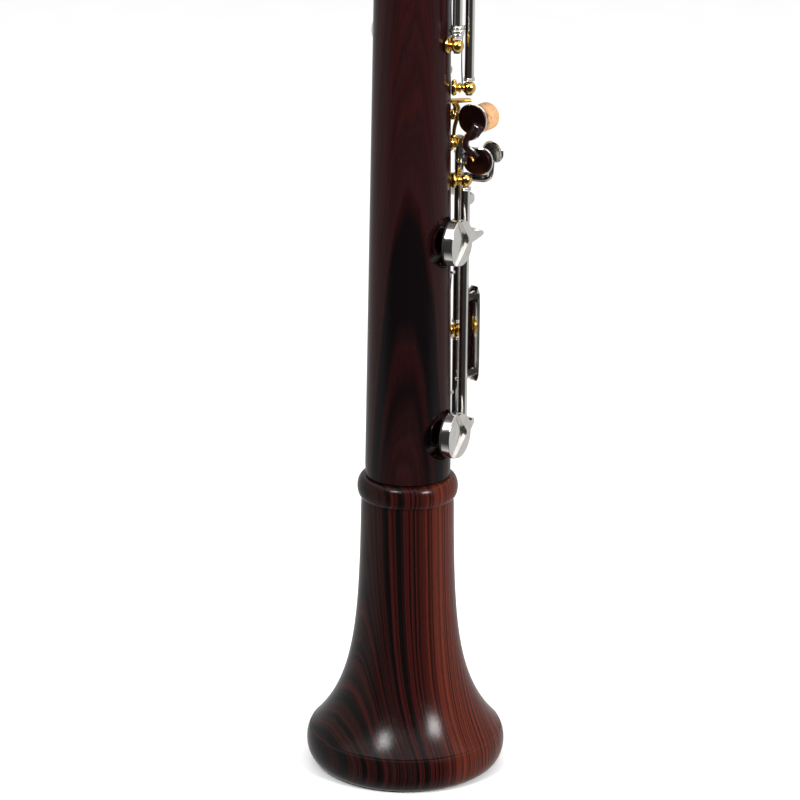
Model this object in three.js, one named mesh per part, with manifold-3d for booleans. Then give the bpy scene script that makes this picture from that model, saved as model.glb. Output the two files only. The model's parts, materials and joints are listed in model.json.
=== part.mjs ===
// An oboe standing on its bell: three wooden joints on one bore, with the keywork on rods and posts.
// Millimetres. The origin is the middle of the bell's foot, and +Z runs up the bore.
// Angles go round the bore: 0 is the front (-Y), 90 the player's right (-X), 180 the player's side.
import * as THREE from 'three';
import { mergeVertices } from 'three/addons/utils/BufferGeometryUtils.js';
import Module from 'manifold-3d';

const wasm = await Module();
wasm.setup();

// ---- driving dimensions ----
const GAP = 0.3;
const BELL_TOP = 100;
const LOWER_TOP = 350;
const UPPER_TOP = 585;
const TENON_LENGTH = 21.5;
const WOOD_SIDES = 32;

const BELL_RIM = { footRadius: 27.5, radius: 32.7, z: 7.5 };
const BELL_FLARE = { radius: 31.8, z: 12.3, throat: 15, reach: 17 };
const BELL_RING = { z: 96.2, radius: 16.4, halfHeight: 3.8 };
const BELL_TOP_RADIUS = 14.3;
const BELL_MOUTH = { throat: 9, widening: 10.5, reach: 28 };
const BELL_VENT = { angle: 35, z: 52, radius: 2 };

const BORE = { topRadius: 2.2, middleRadius: 4.9, bottomRadius: 7.9 };
const LOWER_SOCKET = { radius: 8.55, tenonRadius: 7.95, grooveRadius: 7.2, corkRadius: 8.25 };
const BELL_SOCKET = { radius: 10.25, tenonRadius: 9.75, grooveRadius: 8.9, corkRadius: 9.95 };
const REED_WELL = {
  cutRadius: 4.6, linerRadius: 4.2, innerRadius: 3.45, depth: 22, lip: 6.4, lipHeight: 1.1,
};
const SEAT_WALL = 1.2;
const SEAT_RELIEF = 1;
const LOWER_SHOULDER_RADIUS = 13.6;
const LOWER_OUTLINE = [[13.9, 104], [12.1, 256], [12, 326], [13.2, 333], [13.2, LOWER_TOP]];
const UPPER_OUTLINE = [
  [12.2, LOWER_TOP + GAP], [12.2, 356], [11.2, 480], [10.4, 558], [12, 572], [10.6, 579], [8.8, UPPER_TOP],
];

const ROD_RADIUS = 0.9;
const TUBE = { inner: 1.3, outer: 1.7, sides: 8 };
const POST = { flange: 2.5, flangeHeight: 0.9, neck: 1.2, ball: 2.15, sides: 6 };
const POST_CLEARANCE = POST.ball + GAP + 0.05;
const ARM = { width: 3, thickness: 1.2, steps: 6 };
const PAD_THICKNESS = 1.3;
const PAD_INSET = 0.5;
const CUP_SIDES = 12;

const WOOD = { color: 0x3a1a18, roughness: 0.3, metalness: 0 };
const SILVER = { color: 0xd4d4d2, roughness: 0.12, metalness: 1 };
const GILT = { color: 0xd6a237, roughness: 0.15, metalness: 1 };
const PAD_SKIN = { color: 0x1c1a1a, roughness: 0.6, metalness: 0 };
const CORK = { color: 0xb9855a, roughness: 0.9, metalness: 0 };

// Rods by name. Each lies along Z at an angle and a distance from the bore, between its posts.
const RODS = {
  low_keys_rod: { angle: 18, radius: 17.3, posts: [106.5, 147, 209] },
  low_b_lever_rod: { angle: 36, radius: 17.7, posts: [112.5, 198] },
  c_sharp_rod: { angle: -4, radius: 16.5, posts: [209.5, 231.5] },
  e_flat_rod: { angle: -30, radius: 15.6, posts: [179, 213.5] },
  f_rod: { angle: -42, radius: 16.5, posts: [235.5, 287] },
  right_hand_rod: { angle: 47, radius: 18.1, posts: [228.7, 304, 342] },
  lower_trill_rod: { angle: 72, radius: 15.8, posts: [243.5, 338] },
  left_b_lever_rod: { angle: -57, radius: 20, posts: [185, 314] },
  left_e_flat_lever_rod: { angle: -74, radius: 20, posts: [209, 322] },
  left_hand_rod: { angle: 48, radius: 16.8, posts: [366, 420, 484] },
  upper_left_rod: { angle: -55, radius: 15.8, posts: [373.5, 470] },
  side_octave_rod: { angle: 98, radius: 14.6, posts: [454.5, 531.5] },
  upper_trill_rod: { angle: 72, radius: 15.6, posts: [358.5, 545.5] },
};

const LARGE_CUP = { radius: 7.5, band: 2.2, lid: 2, hole: 3.4 };
const PLATE_CUP = { radius: 7.5, band: 1.6, lid: 0.6, hole: 2.6 };
const SMALL_CUP = { radius: 6, band: 1.6, lid: 0.8, hole: 2.6 };
const VENT_CUP = { radius: 3.6, band: 1.3, lid: 0.5, hole: 0.9 };

// Keys that turn on those rods. A cup is placed by angle, height and seat, the pad seat's distance from
// the bore. A touch is placed by [right, front, height] and the angle that it faces, and each arm is the
// points that it passes through after it leaves the tube, at the first point's height. opens is the turn,
// in degrees, from closed to the rest pose, and it is left out where the key rests closed.
const KEYS = {
  low_b_key: {
    rod: 'low_keys_rod', tube: [106.5, 147], opens: 10,
    cup: { ...LARGE_CUP, angle: 77, z: 116, seat: 11.3, arch: 22, crest: 0.32 },
  },
  low_c_key: {
    rod: 'low_keys_rod', tube: [147, 209], opens: 9,
    cup: { ...LARGE_CUP, angle: 74, z: 180, seat: 11.2, arch: 22.8, crest: 0.35 },
    touches: [{ at: [11, 18.8, 203.4], facing: -15, size: [10.3, 9.2] }],
    arms: [[[11, 18.8, 203.4]]],
  },
  low_b_lever: {
    rod: 'low_b_lever_rod', tube: [112.5, 198],
    touches: [{ at: [10.4, 19.1, 146], facing: 0, size: [5.6, 32], square: true }],
    arms: [[[10.4, 19.1, 133]], [[10.4, 19.1, 159]], [[8.6, 19.4, 191], [2, 20.8, 191], [-5, 21, 191]]],
  },
  c_sharp_key: {
    rod: 'c_sharp_rod', tube: [209.5, 231.5],
    cup: { ...SMALL_CUP, angle: -45, z: 222, seat: 11.1, arch: 17.4 },
    touches: [{ at: [10.7, 16.9, 217.3], facing: -15, size: [10.3, 10] }],
    arms: [[[8, 16.3, 217.3]]],
  },
  e_flat_key: {
    rod: 'e_flat_rod', tube: [179, 213.5],
    cup: { ...SMALL_CUP, angle: -70, z: 194, seat: 11.4, arch: 17 },
    touches: [{ at: [10.2, 26.9, 205], facing: 0, size: [9, 7] }],
    arms: [[[-6.2, 18, 195.4], [0, 24.2, 195.4], [8, 27, 196.2], [10, 26.9, 202.6]]],
  },
  f_key: {
    rod: 'f_rod', tube: [235.5, 287],
    cup: { ...SMALL_CUP, angle: -78, z: 245, seat: 10.9, arch: 16.4 },
    touches: [{ at: [6.5, 18.6, 276], facing: 0, size: [9, 7] }],
    arms: [[[-6, 17.6, 276], [6.5, 18.6, 276]]],
  },
  d_key: {
    rod: 'right_hand_rod', tube: [228.7, 275.3], postAbove: false, opens: 7,
    cup: { ...PLATE_CUP, angle: 0, z: 262, seat: 10.8, arch: 18.6 },
  },
  e_key: {
    rod: 'right_hand_rod', tube: [275.7, 304], postBelow: false, opens: 7,
    cup: { ...PLATE_CUP, angle: 0, z: 290, seat: 10.8, arch: 18.6 },
  },
  f_sharp_key: {
    rod: 'right_hand_rod', tube: [304, 342], opens: 7,
    cup: { ...PLATE_CUP, angle: 0, z: 318, seat: 10.8, arch: 18.6 },
  },
  lower_trill_key: {
    rod: 'lower_trill_rod', tube: [243.5, 338],
    touches: [{ at: [20.5, 10.4, 300], facing: 62, size: [8, 14] }],
    arms: [[[20.5, 10.4, 300]]],
  },
  left_b_lever: {
    rod: 'left_b_lever_rod', tube: [185, 314],
    touches: [{ at: [-9.5, 19.6, 352], facing: -26, size: [8, 17] }],
    arms: [[[-16, 15.5, 304], [-13.6, 17.6, 328], [-9.5, 19.6, 350]], [[-12.5, 18.6, 191], [-3.5, 24, 191]]],
  },
  left_e_flat_lever: {
    rod: 'left_e_flat_lever_rod', tube: [209, 322],
    touches: [{ at: [-18.5, 12, 352], facing: -57, size: [8, 17] }],
    arms: [[[-22.8, 7, 310], [-22.6, 8.6, 328], [-18.6, 11.8, 350]]],
  },
  g_key: {
    rod: 'left_hand_rod', tube: [366, 420], opens: 7,
    cup: { ...PLATE_CUP, angle: 0, z: 398, seat: 10.5, arch: 18 },
  },
  a_key: {
    rod: 'left_hand_rod', tube: [420, 447.8], postAbove: false, opens: 7,
    cup: { ...PLATE_CUP, angle: 0, z: 432, seat: 10.2, arch: 17.8, radius: 7 },
  },
  half_hole_key: {
    rod: 'left_hand_rod', tube: [448.2, 484], postBelow: false, opens: 7,
    cup: { ...PLATE_CUP, angle: 0, z: 464, seat: 10, arch: 17.6, radius: 6.5 },
  },
  c_vent_key: {
    rod: 'upper_left_rod', tube: [408, 470], postBelow: false, opens: 7,
    cup: { ...VENT_CUP, angle: -8, z: 448.2, seat: 10.8, arch: 16 },
  },
  g_sharp_key: {
    rod: 'upper_left_rod', tube: [373.5, 407.6], postAbove: false,
    cup: { ...SMALL_CUP, angle: -98, z: 396, seat: 10.9, arch: 17.2, radius: 5.5 },
    touches: [{ at: [-12, 19.4, 379], facing: -25, size: [9, 11] }],
    arms: [[[-12, 19.4, 379]]],
  },
  side_octave_key: {
    rod: 'side_octave_rod', tube: [454.5, 531.5],
    cup: { ...VENT_CUP, angle: 136, z: 522, seat: 10.3, arch: 15 },
    touches: [{ at: [20.8, 4.6, 466], facing: 78, size: [8, 15] }],
    arms: [[[20.8, 4.6, 466]]],
  },
  upper_trill_key: {
    rod: 'upper_trill_rod', tube: [358.5, 545.5],
    cup: { ...VENT_CUP, angle: 32, z: 534, seat: 10.1, arch: 15.6, radius: 4.2, hole: 1.6 },
  },
};

const THUMB_OCTAVE = { z: 498, back: 14.4, halfSpan: 6.5, ventZ: 512, touchZ: 484, seat: 10.2 };
const THUMB_REST = { z: 302, width: 11, length: 26, thickness: 1.4, hookReach: 15, hookWidth: 9 };
const PINKY_CORK = { at: [12.4, 18.4, 217.6], facing: -15, radius: 4.4, thickness: 5 };
const PINKY_BRACKET = {
  angle: 30, low: 211.5, waist: 217.5, shoulder: 219.5, shelf: 222.9, top: 224.1,
  stem: 2, shoulderReach: 15.6, shelfReach: 19.3, thickness: 1.8,
};
const SOCKET_RING = { height: 5, inner: 13.5, outer: 14.3 };

// ---- solids ----
function solid(geometry) {
  const bare = geometry.clone();
  bare.deleteAttribute('normal');
  bare.deleteAttribute('uv');
  const merged = mergeVertices(bare, 1e-4);
  const corners = merged.attributes.position.array;
  const kept = [];
  const faces = merged.index.array;
  for (let i = 0; i < faces.length; i += 3) {
    const [a, b, c] = [faces[i], faces[i + 1], faces[i + 2]];
    if (a !== b && b !== c && c !== a) kept.push(a, b, c);
  }
  const mesh = (order) => new wasm.Mesh({
    numProp: 3,
    vertProperties: Float32Array.from(corners),
    triVerts: Uint32Array.from(order),
  });
  const made = new wasm.Manifold(mesh(kept));
  if (made.volume() > 0) return made;
  return new wasm.Manifold(mesh(kept.slice().reverse()));
}

function joined(solids) {
  return solids.reduce((whole, piece) => whole.add(piece));
}

function cut(body, solids) {
  return solids.reduce((rest, piece) => rest.subtract(piece), body);
}

function meshOf(name, body, look) {
  const { vertProperties, triVerts } = body.getMesh();
  const geometry = new THREE.BufferGeometry();
  geometry.setAttribute('position', new THREE.BufferAttribute(Float32Array.from(vertProperties), 3));
  geometry.setIndex(new THREE.BufferAttribute(Uint32Array.from(triVerts), 1));
  geometry.computeVertexNormals();
  const mesh = new THREE.Mesh(geometry, new THREE.MeshStandardMaterial(look));
  mesh.name = name;
  return mesh;
}

// ---- places ----
function outward(angle) {
  const turn = THREE.MathUtils.degToRad(angle);
  return new THREE.Vector3(-Math.sin(turn), -Math.cos(turn), 0);
}

function onBody(angle, radius, z) {
  return outward(angle).multiplyScalar(radius).setZ(z);
}

function fromPlayer([right, front, z]) {
  return new THREE.Vector3(-right, -front, z);
}

/** Stands a shape drawn on the XY plane at a point, with its +Z turned to face outward. */
function stood(geometry, point, facing) {
  const out = outward(facing);
  const up = new THREE.Vector3(0, 0, 1);
  const side = new THREE.Vector3().crossVectors(up, out);
  const placing = new THREE.Matrix4().makeBasis(side, up, out).setPosition(point);
  return geometry.clone().applyMatrix4(placing);
}

function radiusAlong(outline, z) {
  const next = outline.findIndex(([, height]) => height >= z);
  if (next < 1) return outline[Math.max(next, 0)][0];
  const [r0, z0] = outline[next - 1];
  const [r1, z1] = outline[next];
  return r0 + ((r1 - r0) * (z - z0)) / (z1 - z0);
}

function woodRadius(z) {
  return radiusAlong(z > LOWER_TOP ? UPPER_OUTLINE : LOWER_OUTLINE, z);
}

// ---- basic shapes ----
/** A solid of revolution about Z. The profile is [radius, z] pairs, closed on itself or on the axis. */
function turnedShape(profile, sides) {
  const points = profile.map(([radius, z]) => new THREE.Vector2(radius, z));
  return new THREE.LatheGeometry(points, sides).rotateX(Math.PI / 2);
}

function ring(inner, outer, z0, z1, sides) {
  return turnedShape([[inner, z0], [outer, z0], [outer, z1], [inner, z1], [inner, z0]], sides);
}

function disc(radius, z0, z1, sides) {
  return turnedShape([[0, z0], [radius, z0], [radius, z1], [0, z1]], sides);
}

function strap(points, width, thickness) {
  const section = new THREE.Shape();
  section.moveTo(-width / 2, -thickness / 2);
  section.lineTo(width / 2, -thickness / 2);
  section.lineTo(width / 2, thickness / 2);
  section.lineTo(-width / 2, thickness / 2);
  const path = new THREE.CatmullRomCurve3(points);
  const steps = points.length > 2 ? ARM.steps : 1;
  return new THREE.ExtrudeGeometry(section, { steps, bevelEnabled: false, extrudePath: path });
}

// ---- wooden joints ----
function bellOutline() {
  const outline = [];
  const rimSwell = BELL_RIM.radius - BELL_RIM.footRadius;
  for (const turn of [0, 30, 58, 90]) {
    const t = THREE.MathUtils.degToRad(turn);
    outline.push([BELL_RIM.footRadius + rimSwell * Math.sin(t), BELL_RIM.z * (1 - Math.cos(t))]);
  }
  for (const z of [BELL_FLARE.z, 16, 22, 30, 42, 60, 90]) {
    const flare = Math.exp(-(z - BELL_FLARE.z) / BELL_FLARE.reach);
    outline.push([BELL_FLARE.throat + (BELL_FLARE.radius - BELL_FLARE.throat) * flare, z]);
  }
  const ringSwell = 2 * (BELL_RING.radius - BELL_FLARE.throat);
  for (const turn of [-60, -25, 25, 60]) {
    const t = THREE.MathUtils.degToRad(turn);
    const radius = BELL_RING.radius - ringSwell * (1 - Math.cos(t));
    outline.push([radius, BELL_RING.z + BELL_RING.halfHeight * Math.sin(t)]);
  }
  outline.push([BELL_TOP_RADIUS, BELL_TOP]);
  return outline;
}

function bell() {
  const socketFloor = BELL_TOP - TENON_LENGTH - GAP;
  const inside = [[BELL_SOCKET.radius, BELL_TOP], [BELL_SOCKET.radius, socketFloor]];
  for (const z of [socketFloor, 45, 20, 0]) {
    inside.push([BELL_MOUTH.throat + BELL_MOUTH.widening * Math.exp(-z / BELL_MOUTH.reach), z]);
  }
  const wall = solid(turnedShape([...bellOutline(), ...inside, [BELL_RIM.footRadius, 0]], WOOD_SIDES));
  const vent = solid(stood(disc(BELL_VENT.radius, 5, 25, 12), onBody(0, 0, BELL_VENT.z), BELL_VENT.angle));
  return wall.subtract(vent);
}

/** The recess round a tone hole, the raised seat left in it, and the hole through to the bore. */
function toneHole({ angle, z, seat, radius, hole }) {
  const middle = onBody(0, 0, z);
  const sides = hole > 2 ? CUP_SIDES : 8;
  const recess = ring(hole + SEAT_WALL, radius + 0.5, seat - SEAT_RELIEF, seat + 8, sides);
  const clearing = disc(radius + 0.2, seat, seat + 8, sides);
  const bore = disc(hole, 0.5, seat + 8, sides);
  return [recess, clearing, bore].map((shape) => solid(stood(shape, middle, angle)));
}

function toneHoles(low, high) {
  const cups = Object.values(KEYS).map((key) => key.cup).filter((cup) => cup && cup.z > low && cup.z < high);
  return cups.flatMap(toneHole);
}

function tenon(socket, shoulder) {
  const end = shoulder - TENON_LENGTH;
  return [
    [socket.grooveRadius + 0.6, end], [socket.tenonRadius, end + 1], [socket.tenonRadius, end + 3],
    [socket.grooveRadius, end + 3], [socket.grooveRadius, shoulder - 4], [socket.tenonRadius, shoulder - 4],
    [socket.tenonRadius, shoulder],
  ];
}

function tenonCork(socket, shoulder) {
  const low = shoulder - TENON_LENGTH + 3 + GAP;
  return solid(ring(socket.grooveRadius + GAP, socket.corkRadius, low, shoulder - 4 - GAP, 24));
}

function lowerJoint() {
  const shoulder = BELL_TOP + GAP;
  const end = shoulder - TENON_LENGTH;
  const socketFloor = LOWER_TOP - TENON_LENGTH - GAP;
  const profile = [
    [BORE.bottomRadius, end], ...tenon(BELL_SOCKET, shoulder), [LOWER_SHOULDER_RADIUS, shoulder],
    ...LOWER_OUTLINE,
    [LOWER_SOCKET.radius, LOWER_TOP], [LOWER_SOCKET.radius, socketFloor], [BORE.middleRadius, socketFloor],
    [BORE.bottomRadius, end],
  ];
  return cut(solid(turnedShape(profile, WOOD_SIDES)), toneHoles(BELL_TOP, LOWER_TOP));
}

function upperJoint() {
  const shoulder = LOWER_TOP + GAP;
  const end = shoulder - TENON_LENGTH;
  const wellFloor = UPPER_TOP - REED_WELL.depth - GAP;
  const profile = [
    [BORE.middleRadius, end], ...tenon(LOWER_SOCKET, shoulder), ...UPPER_OUTLINE,
    [REED_WELL.cutRadius, UPPER_TOP], [REED_WELL.cutRadius, wellFloor], [BORE.topRadius, wellFloor],
    [BORE.middleRadius, end],
  ];
  const octaveVent = { angle: 180, z: THUMB_OCTAVE.ventZ, seat: THUMB_OCTAVE.seat, radius: 3.6, hole: 0.9 };
  const holes = [...toneHoles(LOWER_TOP, UPPER_TOP), ...toneHole(octaveVent)];
  return cut(solid(turnedShape(profile, WOOD_SIDES)), holes);
}

function reedWellLiner() {
  const floor = UPPER_TOP - REED_WELL.depth;
  return solid(turnedShape([
    [REED_WELL.innerRadius, floor], [REED_WELL.linerRadius, floor], [REED_WELL.linerRadius, UPPER_TOP + GAP],
    [REED_WELL.lip, UPPER_TOP + GAP], [REED_WELL.lip, UPPER_TOP + REED_WELL.lipHeight],
    [REED_WELL.innerRadius, UPPER_TOP + REED_WELL.lipHeight],
    [REED_WELL.innerRadius, floor],
  ], 24));
}

// ---- rods and posts ----
/** A turned post, standing along +Z from the wood's surface to a ball at the rod's height. */
function postShape(height) {
  const neckFoot = POST.flangeHeight + 0.7;
  const neckTop = Math.max(neckFoot + 0.1, height - POST.ball * 0.8);
  return turnedShape([
    [0, GAP], [POST.flange, GAP], [POST.flange, POST.flangeHeight], [POST.neck, neckFoot],
    [POST.neck, neckTop], [POST.ball, height - 0.5], [POST.ball, height + 0.5], [0, height + POST.ball],
  ], POST.sides);
}

function rodWithPosts({ angle, radius, posts }) {
  const [low, high] = [posts[0], posts[posts.length - 1]];
  const rod = disc(ROD_RADIUS, low - 1.2, high + 1.2, TUBE.sides);
  const along = onBody(angle, radius, 0);
  const solids = [solid(rod.translate(along.x, along.y, 0))];
  for (const z of posts) {
    const surface = woodRadius(z);
    solids.push(solid(stood(postShape(radius - surface), onBody(angle, surface, z), angle)));
  }
  return joined(solids);
}

// ---- keys ----
function cupShape({ radius, band, lid }) {
  return turnedShape([[0, 0], [radius, 0], [radius, band], [0, band + lid]], CUP_SIDES);
}

function padShape({ radius }) {
  return disc(radius - PAD_INSET, 0, PAD_THICKNESS, CUP_SIDES);
}

function cupFloor({ seat }) {
  return seat + GAP + PAD_THICKNESS + GAP;
}

/** The first point of an arm, just inside the wall of the hinge tube. */
function armRoot(axis, toward, z) {
  const away = toward.clone().sub(axis).setZ(0).normalize();
  return axis.clone().setZ(z).addScaledVector(away, TUBE.outer - 0.3);
}

function cupArm(axis, cup) {
  const top = cupFloor(cup) + cup.band + cup.lid;
  const rodAngle = THREE.MathUtils.radToDeg(Math.atan2(-axis.x, -axis.y));
  const crest = onBody(rodAngle + (cup.angle - rodAngle) * (cup.crest ?? 0.45), cup.arch, cup.z);
  const end = onBody(cup.angle, top - 0.7, cup.z);
  return solid(strap([armRoot(axis, crest, cup.z), crest, end], ARM.width, ARM.thickness));
}

function touchPlate({ at, facing, size: [width, height], square }) {
  const outline = square ? new THREE.BoxGeometry(width, height, ARM.thickness)
    : disc(0.5, -ARM.thickness / 2, ARM.thickness / 2, CUP_SIDES).scale(width, height, 1);
  return solid(stood(outline, fromPlayer(at), facing));
}

function leverArm(axis, route) {
  const bends = route.map(fromPlayer);
  return solid(strap([armRoot(axis, bends[0], bends[0].z), ...bends], ARM.width, ARM.thickness));
}

function keyBody(key, axis, z0, z1) {
  const tube = ring(TUBE.inner, TUBE.outer, z0, z1, TUBE.sides).translate(axis.x, axis.y, 0);
  const solids = [solid(tube)];
  if (key.cup) {
    const floor = onBody(key.cup.angle, cupFloor(key.cup), key.cup.z);
    solids.push(solid(stood(cupShape(key.cup), floor, key.cup.angle)), cupArm(axis, key.cup));
  }
  for (const touch of key.touches ?? []) solids.push(touchPlate(touch));
  for (const route of key.arms ?? []) solids.push(leverArm(axis, route));
  return joined(solids);
}

/** The turn's sign that lifts a cup away from its seat. */
function liftSign(axis, cup) {
  const arm = onBody(cup.angle, cup.seat, 0).sub(axis);
  const sideways = new THREE.Vector3(-arm.y, arm.x, 0);
  return Math.sign(sideways.dot(outward(cup.angle)));
}

function hung(mesh, axis) {
  mesh.geometry.translate(-axis.x, -axis.y, 0);
  return mesh;
}

function keyGroup(name, key) {
  const { angle, radius } = RODS[key.rod];
  const axis = onBody(angle, radius, 0);
  const z0 = key.tube[0] + (key.postBelow === false ? 0 : POST_CLEARANCE);
  const z1 = key.tube[1] - (key.postAbove === false ? 0 : POST_CLEARANCE);
  const group = new THREE.Group();
  group.position.set(axis.x, axis.y, 0);
  group.add(hung(meshOf(name, keyBody(key, axis, z0, z1), SILVER), axis));
  if (key.cup) {
    const seat = onBody(key.cup.angle, key.cup.seat + GAP, key.cup.z);
    const pad = solid(stood(padShape(key.cup), seat, key.cup.angle));
    group.add(hung(meshOf(name.replace(/_key$/, '_pad'), pad, PAD_SKIN), axis));
    group.rotation.z = THREE.MathUtils.degToRad((key.opens ?? 0) * liftSign(axis, key.cup));
  }
  return group;
}

function pinkyCork() {
  const { at, facing, radius, thickness } = PINKY_CORK;
  return solid(stood(disc(radius, 0, thickness, CUP_SIDES), fromPlayer(at), facing));
}

// ---- thumb pieces, at the player's side ----
function thumbOctaveRod() {
  const { z, back, halfSpan } = THUMB_OCTAVE;
  const surface = woodRadius(z);
  const rod = disc(ROD_RADIUS, -halfSpan - 1.2, halfSpan + 1.2, TUBE.sides).rotateY(Math.PI / 2);
  const solids = [solid(rod.translate(0, back, z))];
  for (const side of [-1, 1]) {
    const foot = Math.sqrt(surface ** 2 - halfSpan ** 2);
    const post = stood(postShape(back - foot), new THREE.Vector3(side * halfSpan, foot, z), 180);
    const clearOfWood = solid(post).subtract(solid(disc(surface + GAP, z - 5, z + 5, WOOD_SIDES)));
    solids.push(clearOfWood);
  }
  return joined(solids);
}

function thumbOctaveKey() {
  const { z, back, halfSpan, ventZ, touchZ, seat } = THUMB_OCTAVE;
  const half = halfSpan - POST_CLEARANCE;
  const tube = ring(TUBE.inner, TUBE.outer, -half, half, TUBE.sides);
  tube.rotateY(Math.PI / 2).translate(0, back, z);
  const cup = { ...VENT_CUP, seat };
  const cupTop = cupFloor(cup) + cup.band;
  const behind = (away, height) => new THREE.Vector3(0, away, height);
  const upWay = [behind(back, z + 1.4), behind(back + 1.5, z + 7), behind(cupTop, ventZ)];
  const downWay = [behind(back, z - 1.4), behind(back + 2.4, z - 7), behind(back + 1, touchZ)];
  const touch = disc(0.5, -0.6, 0.6, CUP_SIDES).scale(10, 12, 1);
  return joined([
    solid(tube),
    solid(strap(upWay, ARM.width, ARM.thickness)),
    solid(strap(downWay, ARM.width, ARM.thickness)),
    solid(stood(cupShape(cup), behind(cupFloor(cup), ventZ), 180)),
    solid(stood(touch, behind(back + 1, touchZ), 180)),
  ]);
}

function thumbOctavePad() {
  const { ventZ, seat } = THUMB_OCTAVE;
  return solid(stood(padShape(VENT_CUP), new THREE.Vector3(0, seat + GAP, ventZ), 180));
}

/** A plate screwed to the back of the joint, with the hook that rests on the right thumb. */
function thumbRest() {
  const { z, width, length, thickness, hookReach, hookWidth } = THUMB_REST;
  const back = woodRadius(z) + GAP;
  const plate = new THREE.BoxGeometry(width, thickness, length).translate(0, back + thickness / 2, z);
  const root = back + thickness / 2;
  const hook = [[root, 0], [root + 6, -1], [root + 11, -1.5], [root + hookReach, 1.5]];
  const path = hook.map(([away, rise]) => new THREE.Vector3(0, away, z + rise));
  return solid(plate).add(solid(strap(path, hookWidth, 2)));
}

/** The gilt bracket beside the little-finger keys, standing out from the wood along a radius. */
function pinkyBracket() {
  const { angle, low, waist, shoulder, shelf, top, stem, shoulderReach, shelfReach, thickness } = PINKY_BRACKET;
  const root = woodRadius(low) + GAP;
  const side = new THREE.Shape();
  side.moveTo(root, low);
  side.lineTo(root + stem, low);
  side.lineTo(root + stem, waist);
  side.lineTo(shoulderReach, shoulder);
  side.lineTo(shoulderReach, shelf);
  side.lineTo(shelfReach, shelf);
  side.lineTo(shelfReach, top);
  side.lineTo(root, top);
  const plate = new THREE.ExtrudeGeometry(side, { depth: thickness, bevelEnabled: false });
  const upright = plate.rotateX(Math.PI / 2).translate(0, thickness / 2, 0);
  return solid(upright.rotateZ(THREE.MathUtils.degToRad(-90 - angle)));
}

// ---- the whole instrument ----
const oboe = new THREE.Group();
oboe.name = 'oboe';
oboe.add(meshOf('bell', bell(), WOOD));
oboe.add(meshOf('lower_joint', lowerJoint(), WOOD));
oboe.add(meshOf('upper_joint', upperJoint(), WOOD));
oboe.add(meshOf('lower_tenon_cork', tenonCork(BELL_SOCKET, BELL_TOP + GAP), CORK));
oboe.add(meshOf('upper_tenon_cork', tenonCork(LOWER_SOCKET, LOWER_TOP + GAP), CORK));
oboe.add(meshOf('reed_well_liner', reedWellLiner(), SILVER));
const ringFoot = LOWER_TOP - SOCKET_RING.height;
const socketRing = ring(SOCKET_RING.inner, SOCKET_RING.outer, ringFoot, LOWER_TOP, WOOD_SIDES);
oboe.add(meshOf('socket_ring', solid(socketRing), SILVER));
for (const [name, rod] of Object.entries(RODS)) oboe.add(meshOf(name, rodWithPosts(rod), GILT));
for (const [name, key] of Object.entries(KEYS)) {
  const group = keyGroup(name, key);
  if (name === 'c_sharp_key') {
    const axis = onBody(RODS[key.rod].angle, RODS[key.rod].radius, 0);
    group.add(hung(meshOf('pinky_cork', pinkyCork(), CORK), axis));
  }
  oboe.add(group);
}
oboe.add(meshOf('thumb_octave_rod', thumbOctaveRod(), GILT));
oboe.add(meshOf('thumb_octave_key', thumbOctaveKey(), SILVER));
oboe.add(meshOf('thumb_octave_pad', thumbOctavePad(), PAD_SKIN));
oboe.add(meshOf('thumb_rest', thumbRest(), GILT));
oboe.add(meshOf('pinky_bracket', pinkyBracket(), GILT));

export default oboe;
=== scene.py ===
import json
import math

import bmesh
import bpy
from mathutils import Matrix, Vector


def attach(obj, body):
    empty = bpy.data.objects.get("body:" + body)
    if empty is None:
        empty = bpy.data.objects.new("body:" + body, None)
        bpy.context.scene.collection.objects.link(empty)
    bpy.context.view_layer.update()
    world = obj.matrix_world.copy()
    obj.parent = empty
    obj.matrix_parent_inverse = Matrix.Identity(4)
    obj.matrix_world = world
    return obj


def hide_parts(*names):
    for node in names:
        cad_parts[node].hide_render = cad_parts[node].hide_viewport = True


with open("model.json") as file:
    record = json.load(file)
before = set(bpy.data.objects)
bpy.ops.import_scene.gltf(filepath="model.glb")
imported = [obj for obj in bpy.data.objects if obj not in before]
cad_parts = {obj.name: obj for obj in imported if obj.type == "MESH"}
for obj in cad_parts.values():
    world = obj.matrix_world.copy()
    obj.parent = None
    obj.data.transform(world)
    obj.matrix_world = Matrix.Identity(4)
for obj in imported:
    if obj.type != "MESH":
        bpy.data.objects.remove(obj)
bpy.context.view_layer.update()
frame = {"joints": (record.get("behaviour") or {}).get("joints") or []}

# An oboe standing on its bell. Shapes are drawn in millimetres and made in metres.
# Angles go round the bore: 0 is the front (-Y), 90 the player's right (-X), 180 the player's side.
# A cup, a plate or a post is drawn lying on the XY plane, and then stood with its +Z facing outward.
MM = 0.001
UP = Vector((0, 0, 1))

# ---- wood ----
WOOD_SIDES = 192
RING_STEP = 4
BELL_TOP = 100
LOWER_TOP = 350
UPPER_TOP = 585
GAP = 0.3
TENON_LENGTH = 21.5
CORK_GROOVE = {"from_end": 3, "from_shoulder": 4}
BELL_NECK = 90
BELL_RIM = {"foot_radius": 27.5, "radius": 32.7, "z": 7.5}
BELL_FLARE = {"radius": 31.8, "z": 12.3, "throat": 15, "reach": 17}
BELL_RING = {"z": 96.2, "radius": 16.4, "half_height": 3.8, "bulge": 2}
BELL_MOUTH = {"throat": 9, "widening": 10.5, "reach": 28}
BELL_VENT = {"angle": 35, "z": 52, "radius": 2}
BELL_SOCKET = {"radius": 10.25, "tenon": 9.75, "groove": 8.9, "cork": 9.95}
LOWER_SOCKET = {"radius": 8.55, "tenon": 7.95, "groove": 7.2, "cork": 8.25}
BORE = {"bottom": 7.9, "middle": 4.9, "top": 2.2, "bottom_z": 78.8, "middle_z": 328.2, "top_z": 563}
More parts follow.
